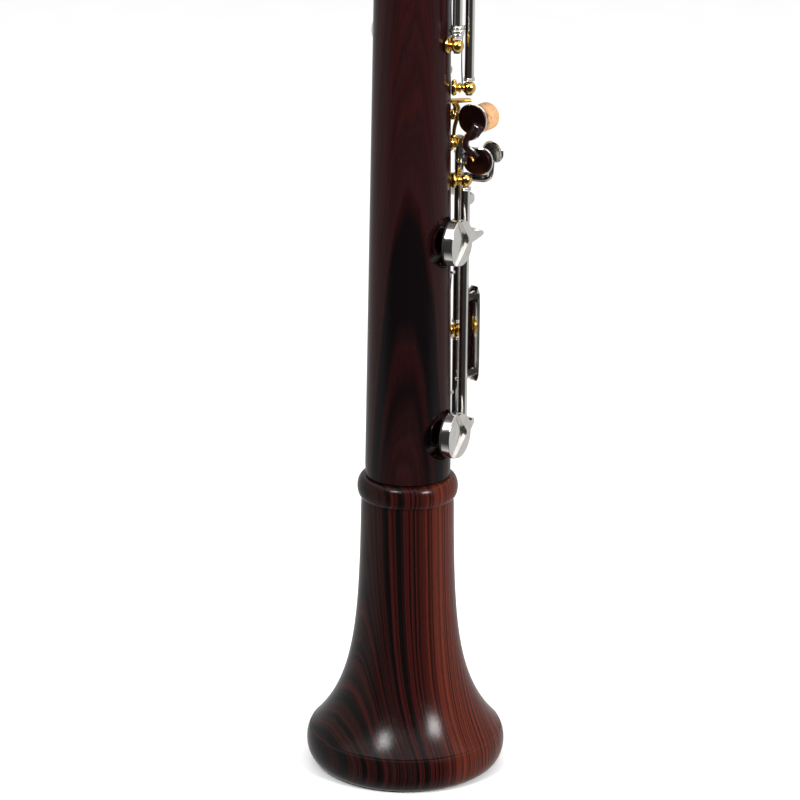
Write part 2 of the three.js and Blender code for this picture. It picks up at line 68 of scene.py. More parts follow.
REED_WELL = {"cut": 4.6, "liner": 4.2, "inner": 3.45, "depth": 22}
SOCKET_RING = {"height": 5, "inner": 13.5, "outer": 13.95, "bead": 0.38}
TONE_HOLE = {"margin": 0.5, "rounding": 0.45, "sides": 96}
LOWER_OUTLINE = [(13.9, 104), (12.1, 256), (12, 326), (13.2, 333), (13.2, LOWER_TOP)]
UPPER_OUTLINE = [(12.2, 350.3), (12.2, 356), (11.2, 480), (10.4, 558), (12, 572), (10.6, 579), (8.8, 585)]

# ---- metalwork ----
BALL_RADIUS = 2.15
TUBE = {"inner": 1.0, "outer": 1.5, "collar": 1.85, "end": 2.3, "sides": 32}
STEEL_RADIUS = 0.9
SCREW = {"radius": 1.1, "rise": BALL_RADIUS + 0.12, "slot": 0.32, "slot_depth": 0.35}
SPRING = {"reach": 17, "inward": 2.1, "bow": 0.35, "thick": 0.46, "taper": 0.22}
CUP_SIDES = 72
PAD_THICKNESS = 1.3
RODS = {
    "low_keys_rod": {"angle": 18, "radius": 17.3, "posts": [106.5, 147, 209]},
    "low_b_lever_rod": {"angle": 36, "radius": 17.7, "posts": [112.5, 198]},
    "c_sharp_rod": {"angle": -4, "radius": 16.5, "posts": [209.5, 231.5]},
    "e_flat_rod": {"angle": -30, "radius": 15.6, "posts": [179, 213.5]},
    "f_rod": {"angle": -42, "radius": 16.5, "posts": [235.5, 287]},
    "right_hand_rod": {"angle": 47, "radius": 18.1, "posts": [228.7, 304, 342]},
    "lower_trill_rod": {"angle": 72, "radius": 15.8, "posts": [243.5, 338]},
    "left_b_lever_rod": {"angle": -57, "radius": 20, "posts": [185, 314]},
    "left_e_flat_lever_rod": {"angle": -74, "radius": 20, "posts": [209, 322]},
    "left_hand_rod": {"angle": 48, "radius": 16.8, "posts": [366, 420, 484]},
    "upper_left_rod": {"angle": -55, "radius": 15.8, "posts": [373.5, 470]},
    "side_octave_rod": {"angle": 98, "radius": 14.6, "posts": [454.5, 531.5]},
    "upper_trill_rod": {"angle": 72, "radius": 15.6, "posts": [358.5, 545.5]},
}
LARGE_CUP = {"radius": 7.5, "band": 2.2, "hole": 3.4, "kind": "pointed"}
PLATE_CUP = {"angle": 0, "radius": 7.5, "band": 1.6, "lid": 0.6, "hole": 2.6, "kind": "plate"}
SMALL_CUP = {"radius": 6, "band": 1.6, "hole": 2.6, "kind": "pointed"}
VENT_CUP = {"radius": 3.6, "band": 1.3, "hole": 0.9, "kind": "pointed"}

# Keys on those rods. A touch is [right, front, height] from the player, with the angle that it faces.
# An arm is the points that it passes through after the tube. ends says which tube ends meet a post.
KEYS = {
    "low_b_key": {
        "rod": "low_keys_rod", "tube": (106.5, 147),
        "cup": {**LARGE_CUP, "angle": 77, "z": 116, "seat": 11.3, "arch": 20.4, "crest": 0.32, "rise": 1.5},
    },
    "low_c_key": {
        "rod": "low_keys_rod", "tube": (147, 209),
        "cup": {**LARGE_CUP, "angle": 74, "z": 180, "seat": 11.2, "arch": 22.6, "crest": 0.35, "rise": 0.4},
        "touches": [{"at": (11, 18.8, 203.4), "facing": -15, "size": (10.3, 9.2)}],
        "arms": [[(11, 18.8, 203.4)]],
    },
    "low_b_lever": {
        "rod": "low_b_lever_rod", "tube": (112.5, 198),
        "touches": [{"at": (10.4, 19.1, 146), "facing": 0, "size": (5.6, 32), "square": True}],
        "arms": [
            [(10.4, 19.1, 133)], [(10.4, 19.1, 159)],
            [(8.6, 19.4, 191), (2, 20.8, 191), (-5, 21, 191)],
        ],
    },
    "c_sharp_key": {
        "rod": "c_sharp_rod", "tube": (209.5, 231.5),
        "cup": {**SMALL_CUP, "angle": -45, "z": 222, "seat": 11.1, "arch": 17.4},
        "touches": [{"at": (10.7, 16.9, 217.3), "facing": -15, "size": (10.3, 10)}],
        "arms": [[(8, 16.3, 217.3)]],
    },
    "e_flat_key": {
        "rod": "e_flat_rod", "tube": (179, 213.5),
        "cup": {**SMALL_CUP, "angle": -70, "z": 194, "seat": 11.4, "arch": 17},
        "touches": [{"at": (10.2, 26.9, 205), "facing": 0, "size": (9, 7), "ribs": 4}],
        "arms": [[(-6.2, 18, 195.4), (0, 24.2, 195.4), (8, 27, 196.2), (10, 26.9, 202.6)]],
    },
    "f_key": {
        "rod": "f_rod", "tube": (235.5, 287),
        "cup": {**SMALL_CUP, "angle": -78, "z": 245, "seat": 10.9, "arch": 16.4},
        "touches": [{"at": (6.5, 18.6, 276), "facing": 0, "size": (9, 7)}],
        "arms": [[(-6, 17.6, 276), (6.5, 18.6, 276)]],
    },
    "d_key": {
        "rod": "right_hand_rod", "tube": (228.7, 275.3), "ends": (True, False),
        "cup": {**PLATE_CUP, "z": 262, "seat": 10.8, "arch": 18.6},
    },
    "e_key": {
        "rod": "right_hand_rod", "tube": (275.7, 304), "ends": (False, True),
        "cup": {**PLATE_CUP, "z": 290, "seat": 10.8, "arch": 18.6},
    },
    "f_sharp_key": {
        "rod": "right_hand_rod", "tube": (304, 342),
        "cup": {**PLATE_CUP, "z": 318, "seat": 10.8, "arch": 18.6},
    },
    "lower_trill_key": {
        "rod": "lower_trill_rod", "tube": (243.5, 338),
        "touches": [{"at": (20.5, 10.4, 300), "facing": 62, "size": (8, 14)}],
        "arms": [[(20.5, 10.4, 300)]],
    },
    "left_b_lever": {
        "rod": "left_b_lever_rod", "tube": (185, 314),
        "touches": [{"at": (-9.5, 19.6, 352), "facing": -26, "size": (8, 17)}],
        "arms": [
            [(-16, 15.5, 304), (-13.6, 17.6, 328), (-9.5, 19.6, 350)],
            [(-12.5, 18.6, 191), (-3.5, 24, 191)],
        ],
    },
    "left_e_flat_lever": {
        "rod": "left_e_flat_lever_rod", "tube": (209, 322),
        "touches": [{"at": (-18.5, 12, 352), "facing": -57, "size": (8, 17)}],
        "arms": [[(-22.8, 7, 310), (-22.6, 8.6, 328), (-18.6, 11.8, 350)]],
    },
    "g_key": {
        "rod": "left_hand_rod", "tube": (366, 420),
        "cup": {**PLATE_CUP, "z": 398, "seat": 10.5, "arch": 18},
    },
    "a_key": {
        "rod": "left_hand_rod", "tube": (420, 447.8), "ends": (True, False),
        "cup": {**PLATE_CUP, "z": 432, "seat": 10.2, "arch": 17.8, "radius": 7},
    },
    "half_hole_key": {
        "rod": "left_hand_rod", "tube": (448.2, 484), "ends": (False, True),
        "cup": {**PLATE_CUP, "z": 464, "seat": 10, "arch": 17.6, "radius": 6.5},
    },
    "c_vent_key": {
        "rod": "upper_left_rod", "tube": (408, 470), "ends": (False, True),
        "cup": {**VENT_CUP, "angle": -8, "z": 448.2, "seat": 10.8, "arch": 16},
    },
    "g_sharp_key": {
        "rod": "upper_left_rod", "tube": (373.5, 407.6), "ends": (True, False),
        "cup": {**SMALL_CUP, "angle": -98, "z": 396, "seat": 10.9, "arch": 17.2, "radius": 5.5},
        "touches": [{"at": (-12, 19.4, 379), "facing": -25, "size": (9, 11)}],
        "arms": [[(-12, 19.4, 379)]],
    },
    "side_octave_key": {
        "rod": "side_octave_rod", "tube": (454.5, 531.5),
        "cup": {**VENT_CUP, "angle": 136, "z": 522, "seat": 10.3, "arch": 15},
        "touches": [{"at": (20.8, 4.6, 466), "facing": 78, "size": (8, 15)}],
        "arms": [[(20.8, 4.6, 466)]],
    },
    "upper_trill_key": {
        "rod": "upper_trill_rod", "tube": (358.5, 545.5),
        "cup": {**VENT_CUP, "angle": 32, "z": 534, "seat": 10.1, "arch": 15.6, "radius": 4.2, "hole": 1.6},
    },
}
RESTS_OPEN = {
    "low_b_key", "low_c_key", "d_key", "e_key", "f_sharp_key",
    "g_key", "a_key", "half_hole_key", "c_vent_key",
}
THUMB_OCTAVE = {"z": 498, "back": 14.4, "half_span": 6.5, "vent_z": 512, "touch_z": 484, "seat": 10.2}
THUMB_REST = {"z": 302, "width": 11, "length": 26, "thickness": 1.4, "hook_width": 9}
PINKY_CORK = {"at": (12.4, 18.4, 217.6), "facing": -15, "radius": 4.4, "thickness": 5}
PINKY_BRACKET = {
    "angle": 30, "low": 211.5, "shelf": 222.9, "top": 224.1, "reach": 15.6, "shelf_reach": 19.3,
}

# ---- the view ----
VIEW_FROM = Vector((-1, 1, 0)).normalized()
VIEW_RIGHT = Vector((-1, -1, 0)).normalized()
CAMERA = {"distance": 1.104, "height": 0.489, "pitch": 18.24, "yaw": 0.135, "roll": 0.54, "lens": 162}


# ---- places ----
def outward(angle):
    turn = math.radians(angle)
    return Vector((-math.sin(turn), -math.cos(turn), 0))


def on_body(angle, radius, z):
    return outward(angle) * radius + UP * z


def from_player(place):
    right, front, z = place
    return Vector((-right, -front, z))


def stood(point, facing):
    """The placing that stands a shape at a point, with its +Z facing outward and its +Y up the bore."""
    out = outward(facing)
    placing = Matrix((UP.cross(out), UP, out)).transposed().to_4x4()
    placing.translation = point
    return placing


def placed(shape, placing):
    corners, faces = shape
    return [placing @ Vector(corner) for corner in corners], faces


def raised(shape, x, y, z=0):
    return placed(shape, Matrix.Translation((x, y, z)))


def between(stops, z):
    """The radius at a height, on straight lines between [radius, height] stops."""
    for (r0, z0), (r1, z1) in zip(stops, stops[1:]):
        if z <= z1:
            return r0 + (r1 - r0) * max(0, (z - z0) / (z1 - z0))
    return stops[-1][0]


def wood_radius(z):
    return between(UPPER_OUTLINE if z > LOWER_TOP else LOWER_OUTLINE, z)


def bore_radius(z):
    stops = [
        (BORE["bottom"], BORE["bottom_z"]), (BORE["middle"], BORE["middle_z"]), (BORE["top"], BORE["top_z"]),
    ]
    return between(stops, z)


# ---- shapes: a shape is its corners and its faces ----
def arc(radius, height, bend, start, end, steps=6):
    """Points of a rounding about (radius, height), from one angle to the other, in degrees."""
    turns = [math.radians(start + (end - start) * step / steps) for step in range(steps + 1)]
    return [(radius + bend * math.cos(turn), height + bend * math.sin(turn)) for turn in turns]


def circle(turn):
    return math.cos(turn), math.sin(turn)


def ring_row(corners, sides, point):
    """Adds a ring of corners, where point(turn) is a place, and returns their numbers."""
    start = len(corners)
    corners.extend(point(2 * math.pi * step / sides) for step in range(sides))
    return range(start, start + sides)


def turned_row(corners, sides, radius, height, outline=circle):
    """Adds one ring of a turned shape. At the axis that is a single corner, repeated."""
    if radius < 1e-6:
        corners.append((0, 0, height))
        return [len(corners) - 1] * sides

    def point(turn):
        x, y = outline(turn)
        return radius * x, radius * y, height

    return ring_row(corners, sides, point)


def skin(rows, sides):
    """The faces between each row of corners and the next."""
    faces = []
    for low, high in zip(rows, rows[1:]):
        for step in range(sides):
            after = (step + 1) % sides
            face = tuple(dict.fromkeys((low[step], low[after], high[after], high[step])))
            if len(face) > 2:
                faces.append(face)
    return faces


def turned(profile, sides, closed=False, outline=circle):
    """A solid of revolution about Z from [radius, height] pairs. outline(turn) stretches it from a circle."""
    corners = []
    rows = [turned_row(corners, sides, radius, height, outline) for radius, height in profile]
    if closed:
        rows.append(rows[0])
    return corners, skin(rows, sides)


def rounded_box_outline(half_width, half_height, power):
    """A rounded outline: power 2 is an ellipse, and a larger one is squarer."""
    def point(turn):
        x, y = math.cos(turn), math.sin(turn)
        reach = (abs(x / half_width) ** power + abs(y / half_height) ** power) ** (-1 / power)
        return x * reach, y * reach
    return point


def smooth_stations(stations, steps):
    """A smooth curve through stations, which are lists of numbers of the same length."""
    ends = [[2 * a - b for a, b in zip(stations[0], stations[1])]]
    tail = [[2 * a - b for a, b in zip(stations[-1], stations[-2])]]
    known = ends + [list(station) for station in stations] + tail
    made = []
    for before, start, end, after in zip(known, known[1:], known[2:], known[3:]):
        for step in range(steps):
            t = step / steps
            made.append([
                0.5 * (2 * p1 + (p2 - p0) * t + (2 * p0 - 5 * p1 + 4 * p2 - p3) * t ** 2
                       + (3 * p1 - p0 - 3 * p2 + p3) * t ** 3)
                for p0, p1, p2, p3 in zip(before, start, end, after)
            ])
    made.append(list(stations[-1]))
    return made


def swept(stations, across=None, steps=8, sides=20, power=3):
    """A bar along [x, y, z, width, thickness] stations. Its width lies along across, or round the bore."""
    corners = []
    path = smooth_stations(stations, steps)
    points = [Vector(station[:3]) for station in path]
    face_out = None
    for index, station in enumerate(path):
        ahead = points[min(index + 1, len(points) - 1)] - points[max(index - 1, 0)]
        ahead.normalize()
        if across is None:
            hint = Vector((points[index].x, points[index].y, 0)).normalized()
            flat = hint - ahead * hint.dot(ahead)
            if face_out is None or flat.length > 0.35:
                face_out = flat.normalized() if flat.length > 1e-3 else ahead.orthogonal().normalized()
        else:
            face_out = ahead.cross(across).normalized()
        wide = ahead.cross(face_out).normalized()
        outline = rounded_box_outline(station[3] / 2, station[4] / 2, power)
        for side in range(sides):
            x, y = outline(2 * math.pi * side / sides)
            corners.append(points[index] + wide * x + face_out * y)
    rows = [range(start, start + sides) for start in range(0, len(corners), sides)]
    return corners, [*skin(rows, sides), tuple(reversed(rows[0])), tuple(rows[-1])]


def half_disc(radius, low, high, slot, side):
    """One side of a slotted screw head."""
    start = math.asin(slot / 2 / radius)
    turns = [start + (math.pi - 2 * start) * step / 12 for step in range(13)]
    rim = [(radius * math.cos(turn), side * radius * math.sin(turn)) for turn in turns]
    count = len(rim)
    corners = [(x, y, low) for x, y in rim] + [(x, y, high) for x, y in rim]
    faces = [(i, (i + 1) % count, count + (i + 1) % count, count + i) for i in range(count)]
    faces.append(tuple(range(count)))
    faces.append(tuple(range(count, 2 * count)))
    return corners, faces


def slotted_screw(radius, height, placing):
    """A screw head with a straight slot, standing from 0 to its height."""
    slot_depth = min(SCREW["slot_depth"], height / 2)
    foot = turned([(0, 0), (radius, 0), (radius, height - slot_depth), (0, height - slot_depth)], 32)
    halves = [half_disc(radius, height - slot_depth, height, SCREW["slot"], side) for side in (1, -1)]
    return [placed(shape, placing) for shape in (foot, *halves)]


# ---- making a piece ----
def linked(name, data):
    """A new object in the scene."""
    made = bpy.data.objects.new(name, data)
    bpy.context.scene.collection.objects.link(made)
    return made


def mesh_of(name, shapes, crease=32):
    corners = []
    faces = []
    for shape_corners, shape_faces in shapes:
        start = len(corners)
        corners.extend(Vector(corner) * MM for corner in shape_corners)
        faces.extend(tuple(start + index for index in face) for face in shape_faces)
    mesh = bpy.data.meshes.new(name)
    mesh.from_pydata(corners, [], faces)
    mesh.validate()
    return face_outward(mesh, crease)


def face_outward(mesh, crease):
    """Turns every face outward, and keeps edges sharper than the crease angle as edges."""
    work = bmesh.new()
    work.from_mesh(mesh)
    bmesh.ops.recalc_face_normals(work, faces=work.faces)
    work.to_mesh(mesh)
    work.free()
    mesh.shade_smooth()
    mesh.set_sharp_from_angle(angle=math.radians(crease))
    return mesh


def piece(name, shapes, look, body, slot, *nodes):
    """A finished piece that rides on a body and hides the CAD nodes that it replaces. The slot is not used.
    """
    made = linked(name, mesh_of(name, shapes))
    made.data.materials.append(look)
    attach(made, body)
    if nodes:
        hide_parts(*nodes)
    return made


def carve(obj, cutters, crease=30):
    """Cuts closed shapes out of a piece."""
    tool = linked(obj.name + "_cutter", mesh_of(obj.name + "_cutter", cutters))
    cut = obj.modifiers.new("holes", "BOOLEAN")
    cut.operation = "DIFFERENCE"
    cut.solver = "EXACT"
    cut.object = tool
    evaluated = obj.evaluated_get(bpy.context.evaluated_depsgraph_get())
    carved = bpy.data.meshes.new_from_object(evaluated)
    obj.modifiers.clear()
    obj.data = carved
    bpy.data.objects.remove(tool)
    carved.shade_smooth()
    carved.set_sharp_from_angle(angle=math.radians(crease))


# ---- materials ----
TONE_REACH = 40
FLAME_FADE = {"width": 3.0, "left": 0.12}


def srgb(red, green, blue):
    """A screen colour, 0 to 255, as the linear colour that a shader takes."""
    def linear(value):
        share = value / 255
        return share / 12.92 if share <= 0.04045 else ((share + 0.055) / 1.055) ** 2.4
    return (linear(red), linear(green), linear(blue), 1)


def add(tree, kind, inputs=None, **settings):
    node = tree.nodes.new(kind)
    for name, value in settings.items():
        setattr(node, name, value)
    for key, value in (inputs or {}).items():
        if isinstance(value, bpy.types.NodeSocket):
            tree.links.new(value, node.inputs[key])
        else:
            node.inputs[key].default_value = value
    return node


def math_of(tree, operation, first, second=0.0, third=0.0):
    return add(tree, "ShaderNodeMath", {0: first, 1: second, 2: third}, operation=operation).outputs[0]


def mixed(tree, share, first, second):
    inputs = {0: share, 6: first, 7: second}
    return add(tree, "ShaderNodeMix", inputs, data_type="RGBA").outputs[2]


def colour_ramp(tree, value, stops):
    """A ramp from [place, colour] stops."""
    node = add(tree, "ShaderNodeValToRGB", {"Fac": value})
    elements = node.color_ramp.elements
    while len(elements) < len(stops):
        elements.new(0.5)
    for element, (place, colour) in zip(elements, stops):
        element.position = place
        element.color = colour
    return node.outputs["Color"]


def ramp(tree, value, stops):
    """A grey ramp from [place, brightness] stops."""
    return colour_ramp(tree, value, [(place, (grey, grey, grey, 1)) for place, grey in stops])


def tone_and_shade_ramp(tree, across, tones_and_shade):
    """A colour ramp from [millimetres, colour] stops, for the wood's own tone and its painted shade."""
    value = math_of(tree, "MULTIPLY_ADD", across, 0.5 / TONE_REACH, 0.5)
    return colour_ramp(tree, value, [(0.5 + 0.5 * place / TONE_REACH, colour) for place, colour in tones_and_shade])


def noise(tree, place, scale, detail=2.0, roughness=0.5):
    inputs = {"Vector": place, "Scale": scale, "Detail": detail, "Roughness": roughness}
    return add(tree, "ShaderNodeTexNoise", inputs).outputs["Fac"]


def line_noise(tree, along, scale, detail=2.0, roughness=0.5):
    inputs = {"W": along, "Scale": scale, "Detail": detail, "Roughness": roughness}
    return add(tree, "ShaderNodeTexNoise", inputs, noise_dimensions="1D").outputs["Fac"]


def millimetres(tree, stretch=(1, 1, 1)):
    """The place on the object in millimetres, stretched along its axes."""
    place = add(tree, "ShaderNodeTexCoord").outputs["Object"]
    scale = tuple(share / MM for share in stretch)
    return add(tree, "ShaderNodeVectorMath", {0: place, 1: scale}, operation="MULTIPLY").outputs[0]


def blank_material(name):
    made = bpy.data.materials.new(name)
    made.use_nodes = True
    return made, made.node_tree, made.node_tree.nodes["Principled BSDF"]


def bumped(tree, shader, height, distance, strength=1.0):
    inputs = {"Height": height, "Distance": distance, "Strength": strength}
    tree.links.new(add(tree, "ShaderNodeBump", inputs).outputs["Normal"], shader.inputs["Normal"])


def rosewood(name, grain, start, drift, colours, flame, stripe, tones_and_shade):
    """Oiled cocobolo. grain is across the growth rings, and start moves the rings along it, in millimetres.

    The tone stops are [place along it, colour] stops of the wood under the stripes. They hold the wood's own
    tone, and painted shade where a wood's stops darken the side turned from the lights. The black flames grow
    faint where that place is past the flame's fade."""
    red, dark = colours
    made, tree, shader = blank_material(name)
    place = millimetres(tree)
    long_place = millimetres(tree, (1, 1, 0.12))
    wander = math_of(tree, "SUBTRACT", noise(tree, long_place, 0.05, 3.0), 0.5)
    ripple = math_of(tree, "SUBTRACT", noise(tree, long_place, 0.35, 2.0), 0.5)
    across = add(tree, "ShaderNodeVectorMath", {0: place, 1: grain}, operation="DOT_PRODUCT").outputs["Value"]
    across = math_of(tree, "ADD", across, start)
    across = math_of(tree, "MULTIPLY_ADD", wander, drift, across)
    across = math_of(tree, "MULTIPLY_ADD", ripple, drift * 0.12, across)
    flames = ramp(tree, line_noise(tree, across, flame["scale"], 2.0, 0.6), flame["stops"])
    heart = add(tree, "ShaderNodeMapRange", {
        "Value": across, "From Min": flame["fade"], "From Max": flame["fade"] + FLAME_FADE["width"],
        "To Min": 1.0, "To Max": FLAME_FADE["left"],
    }).outputs["Result"]
    stripes = ramp(tree, line_noise(tree, across, stripe["scale"], 4.0, 0.65), stripe["stops"])
    fine = ramp(tree, line_noise(tree, across, stripe["fine"], 2.0, 0.6), [(0.42, 0), (0.62, 1)])
    fibres = noise(tree, millimetres(tree, (1, 1, 0.03)), 2.6, 3.0, 0.6)
    pores = ramp(tree, noise(tree, millimetres(tree, (1, 1, 0.07)), 3.4, 2.0), [(0.62, 0), (0.7, 1)])
    # Painted shade: the tone ramp darkens the wood on the side turned from the lights, under the wood's own
    # tone.
    tone_and_shade = tone_and_shade_ramp(tree, across, tones_and_shade)
    warm = mixed(tree, math_of(tree, "MULTIPLY", stripes, stripe["amount"]), tone_and_shade, red)
    lined = mixed(tree, math_of(tree, "MULTIPLY", fine, stripe["depth"]), warm, dark)
    mottled = mixed(tree, math_of(tree, "MULTIPLY", fibres, 0.45), lined, dark)
    streaked = mixed(tree, math_of(tree, "MULTIPLY", flames, heart), mottled, dark)
    pored = mixed(tree, math_of(tree, "MULTIPLY", pores, 0.5), streaked, dark)
    tree.links.new(pored, shader.inputs["Base Color"])
    gloss = math_of(tree, "MULTIPLY_ADD", fibres, 0.1, 0.13)
    tree.links.new(math_of(tree, "MULTIPLY_ADD", pores, 0.08, gloss), shader.inputs["Roughness"])
    shader.inputs["Specular IOR Level"].default_value = 0.13
    relief = math_of(tree, "MULTIPLY_ADD", pores, -0.6, fibres)
    bumped(tree, shader, relief, 0.00002)
    return made


def plated(name, bright, tarnish, polish, wear=0.35):
    """Polished plating, with faint polishing marks and a little tarnish in patches."""
    made, tree, shader = blank_material(name)
    patches = ramp(tree, noise(tree, millimetres(tree), 0.22, 4.0, 0.6), [(0.42, 0), (0.75, 1)])
    marks = noise(tree, millimetres(tree, (1, 1, 6)), 0.9, 3.0, 0.7)
    smudges = noise(tree, millimetres(tree), 0.6, 3.0)
    colour = mixed(tree, math_of(tree, "MULTIPLY", patches, wear), bright, tarnish)
    tree.links.new(colour, shader.inputs["Base Color"])
    rough = math_of(tree, "MULTIPLY_ADD", smudges, 0.09, polish)
    tree.links.new(math_of(tree, "MULTIPLY_ADD", patches, 0.05, rough), shader.inputs["Roughness"])
    shader.inputs["Metallic"].default_value = 1
    bumped(tree, shader, marks, 0.000006)
    return made


def cork_material():
    made, tree, shader = blank_material("cork")
    place = millimetres(tree)
    grain = noise(tree, place, 0.9, 4.0, 0.7)
    specks = ramp(tree, noise(tree, millimetres(tree, (1, 1, 0.5)), 1.5, 3.0), [(0.6, 0), (0.72, 1)])
    cells = add(tree, "ShaderNodeTexVoronoi", {"Vector": place, "Scale": 1.6}).outputs["Distance"]
    tan = mixed(tree, grain, srgb(206, 162, 116), srgb(164, 116, 74))
    tree.links.new(mixed(tree, math_of(tree, "MULTIPLY", specks, 0.8), tan, srgb(96, 52, 30)),
                   shader.inputs["Base Color"])
    shader.inputs["Roughness"].default_value = 0.85
    relief = math_of(tree, "MULTIPLY_ADD", specks, -1.0, cells)
    bumped(tree, shader, relief, 0.00012)
    return made


def pad_material():
    """Dark, slightly glossy pad skin, with its fine wrinkles."""
    made, tree, shader = blank_material("pad_skin")
    wrinkles = noise(tree, millimetres(tree), 1.4, 5.0, 0.7)
    tree.links.new(mixed(tree, wrinkles, srgb(22, 19, 19), srgb(44, 37, 35)), shader.inputs["Base Color"])
    tree.links.new(math_of(tree, "MULTIPLY_ADD", wrinkles, 0.3, 0.35), shader.inputs["Roughness"])
    bumped(tree, shader, wrinkles, 0.00005)
    return made


def floor_material():
    made, tree, shader = blank_material("pale_floor")
    grain = noise(tree, millimetres(tree), 0.03, 3.0)
    tree.links.new(mixed(tree, grain, srgb(246, 246, 246), srgb(252, 252, 252)), shader.inputs["Base Color"])
    shader.inputs["Roughness"].default_value = 0.35
    return made


LOWER_WOOD = rosewood(
    "cocobolo_lower", (-0.707, 0.707, -0.055), -1.6, 5.0, (srgb(46, 11, 10), srgb(8, 5, 6)),
    {"scale": 0.17, "stops": [(0.49, 0), (0.62, 1)], "fade": 90.0},
    {"scale": 0.42, "stops": [(0.45, 0), (0.62, 1)], "fine": 1.3, "depth": 0.35, "amount": 1.0},
    # Painted shade: these tone stops darken the lower joint round its back and edges, away from the lights,
    # and more toward the top.
    [(-24, srgb(18, 10, 9)), (-12, srgb(34, 14, 14))],
)
UPPER_WOOD = rosewood(
    "cocobolo_upper", (0.78, -0.62, 0.045), 0.0, 5.5, (srgb(50, 13, 11), srgb(8, 5, 6)),
    {"scale": 0.15, "stops": [(0.5, 0), (0.62, 1)], "fade": 90.0},
    {"scale": 0.5, "stops": [(0.45, 0), (0.62, 1)], "fine": 1.3, "depth": 0.35, "amount": 1.0},
    [(-20, srgb(30, 13, 13)), (0, srgb(37, 16, 15))],
)
BELL_WOOD = rosewood(
    "cocobolo_bell", (-0.29, -0.954, 0.012), 0.0, 2.2, (srgb(62, 14, 12), srgb(9, 6, 6)),
    {"scale": 0.42, "stops": [(0.48, 0), (0.56, 1)], "fade": -3.0},
    {"scale": 0.6, "stops": [(0.4, 0), (0.6, 1)], "fine": 1.1, "depth": 0.8, "amount": 0.5},
    # Painted shade: dark brown on the left of the view, away from the key light, is painted shade; the red
    # middle and brown right are the wood's own tone.
    [(-13, srgb(32, 17, 14)), (-9, srgb(48, 13, 12)), (-1, srgb(60, 20, 14)), (3, srgb(98, 40, 24))],
)
SILVER = plated("silver_plate", srgb(240, 238, 234), srgb(196, 188, 172), 0.05)
STEEL = plated("rod_steel", srgb(196, 198, 202), srgb(140, 138, 136), 0.16)
GOLD = plated("gold_plate", srgb(248, 208, 112), srgb(200, 140, 50), 0.06)
BLUED = plated("blued_steel", srgb(52, 66, 120), srgb(40, 40, 60), 0.2)
# Painted shade and painted reflection of the wood, for the lining under the little-finger touches.
UNDERSIDE_SHADE = plated("underside_painted_shade", srgb(58, 35, 37), srgb(44, 26, 28), 0.34)
PAD = pad_material()
CORK = cork_material()


# ---- wooden joints ----
def bell_outline():
    """From the foot round the rim, up the flare and over the ring."""
    rim, flare, ring = BELL_RIM, BELL_FLARE, BELL_RING
    points = [(rim["foot_radius"], 0)]
    swell = rim["radius"] - rim["foot_radius"]
    for step in range(1, 15):
        turn = math.radians(90) * step / 14
        points.append((rim["foot_radius"] + swell * math.sin(turn), rim["z"] * (1 - math.cos(turn))))
    crease = rim["radius"] - flare["radius"]
    for step in range(1, 9):
        share = step / 8
        z = rim["z"] + (flare["z"] - 0.35 - rim["z"]) * share
        points.append((rim["radius"] - crease * share ** 2.4, z))
    points.append((flare["radius"] - 0.3, flare["z"] - 0.15))
    for step in range(1, 38):
        z = flare["z"] + (BELL_NECK - flare["z"]) * (step / 37) ** 1.5
        fall = math.exp(-(z - flare["z"]) / flare["reach"])
        points.append((flare["throat"] + (flare["radius"] - flare["throat"]) * fall, z))
    for step in range(19):
        turn = math.radians(-72 + 144 * step / 18)
        radius = ring["radius"] - ring["bulge"] * (1 - math.cos(turn))
        points.append((radius, ring["z"] + ring["half_height"] * math.sin(turn)))
    points.append((14.2, BELL_TOP))
    return points


def bell():
    socket_floor = BELL_TOP - TENON_LENGTH - GAP
    inside = [(BELL_SOCKET["radius"], BELL_TOP), (BELL_SOCKET["radius"], socket_floor)]
    for step in range(19):
        z = socket_floor * (1 - step / 18)
        inside.append((BELL_MOUTH["throat"] + BELL_MOUTH["widening"] * math.exp(-z / BELL_MOUTH["reach"]), z))
    made = piece("bell_wood", [turned(bell_outline() + inside, WOOD_SIDES, closed=True)], BELL_WOOD, "body",
                 "rosewood", "bell")
    vent = turned([(0, 5), (BELL_VENT["radius"], 5), (BELL_VENT["radius"], 30), (0, 30)], 48)
    carve(made, [placed(vent, stood(UP * BELL_VENT["z"], BELL_VENT["angle"]))])


def tenon(socket, shoulder):
    """A tenon's outline, from its end up to the shoulder, with the groove for its cork."""
    end = shoulder - TENON_LENGTH
    low = end + CORK_GROOVE["from_end"]
    high = shoulder - CORK_GROOVE["from_shoulder"]
    return [
        (socket["groove"] + 0.6, end), (socket["tenon"], end + 1), (socket["tenon"], low),
        (socket["groove"], low), (socket["groove"], high), (socket["tenon"], high),
        (socket["tenon"], shoulder),
    ]


def tenon_cork(name, socket, shoulder):
    low = shoulder - TENON_LENGTH + CORK_GROOVE["from_end"] + GAP
    high = shoulder - CORK_GROOVE["from_shoulder"] - GAP
    inner = socket["groove"] + GAP
    edge = 0.3
    outer = socket["cork"] - edge
    rounded = [*arc(outer, low + edge, edge, -90, 0), *arc(outer, high - edge, edge, 0, 90)]
    profile = [(inner, low), *rounded, (inner, high)]
    piece(name + "_ring", [turned(profile, 64, closed=True)], CORK, "body", "cork", name)


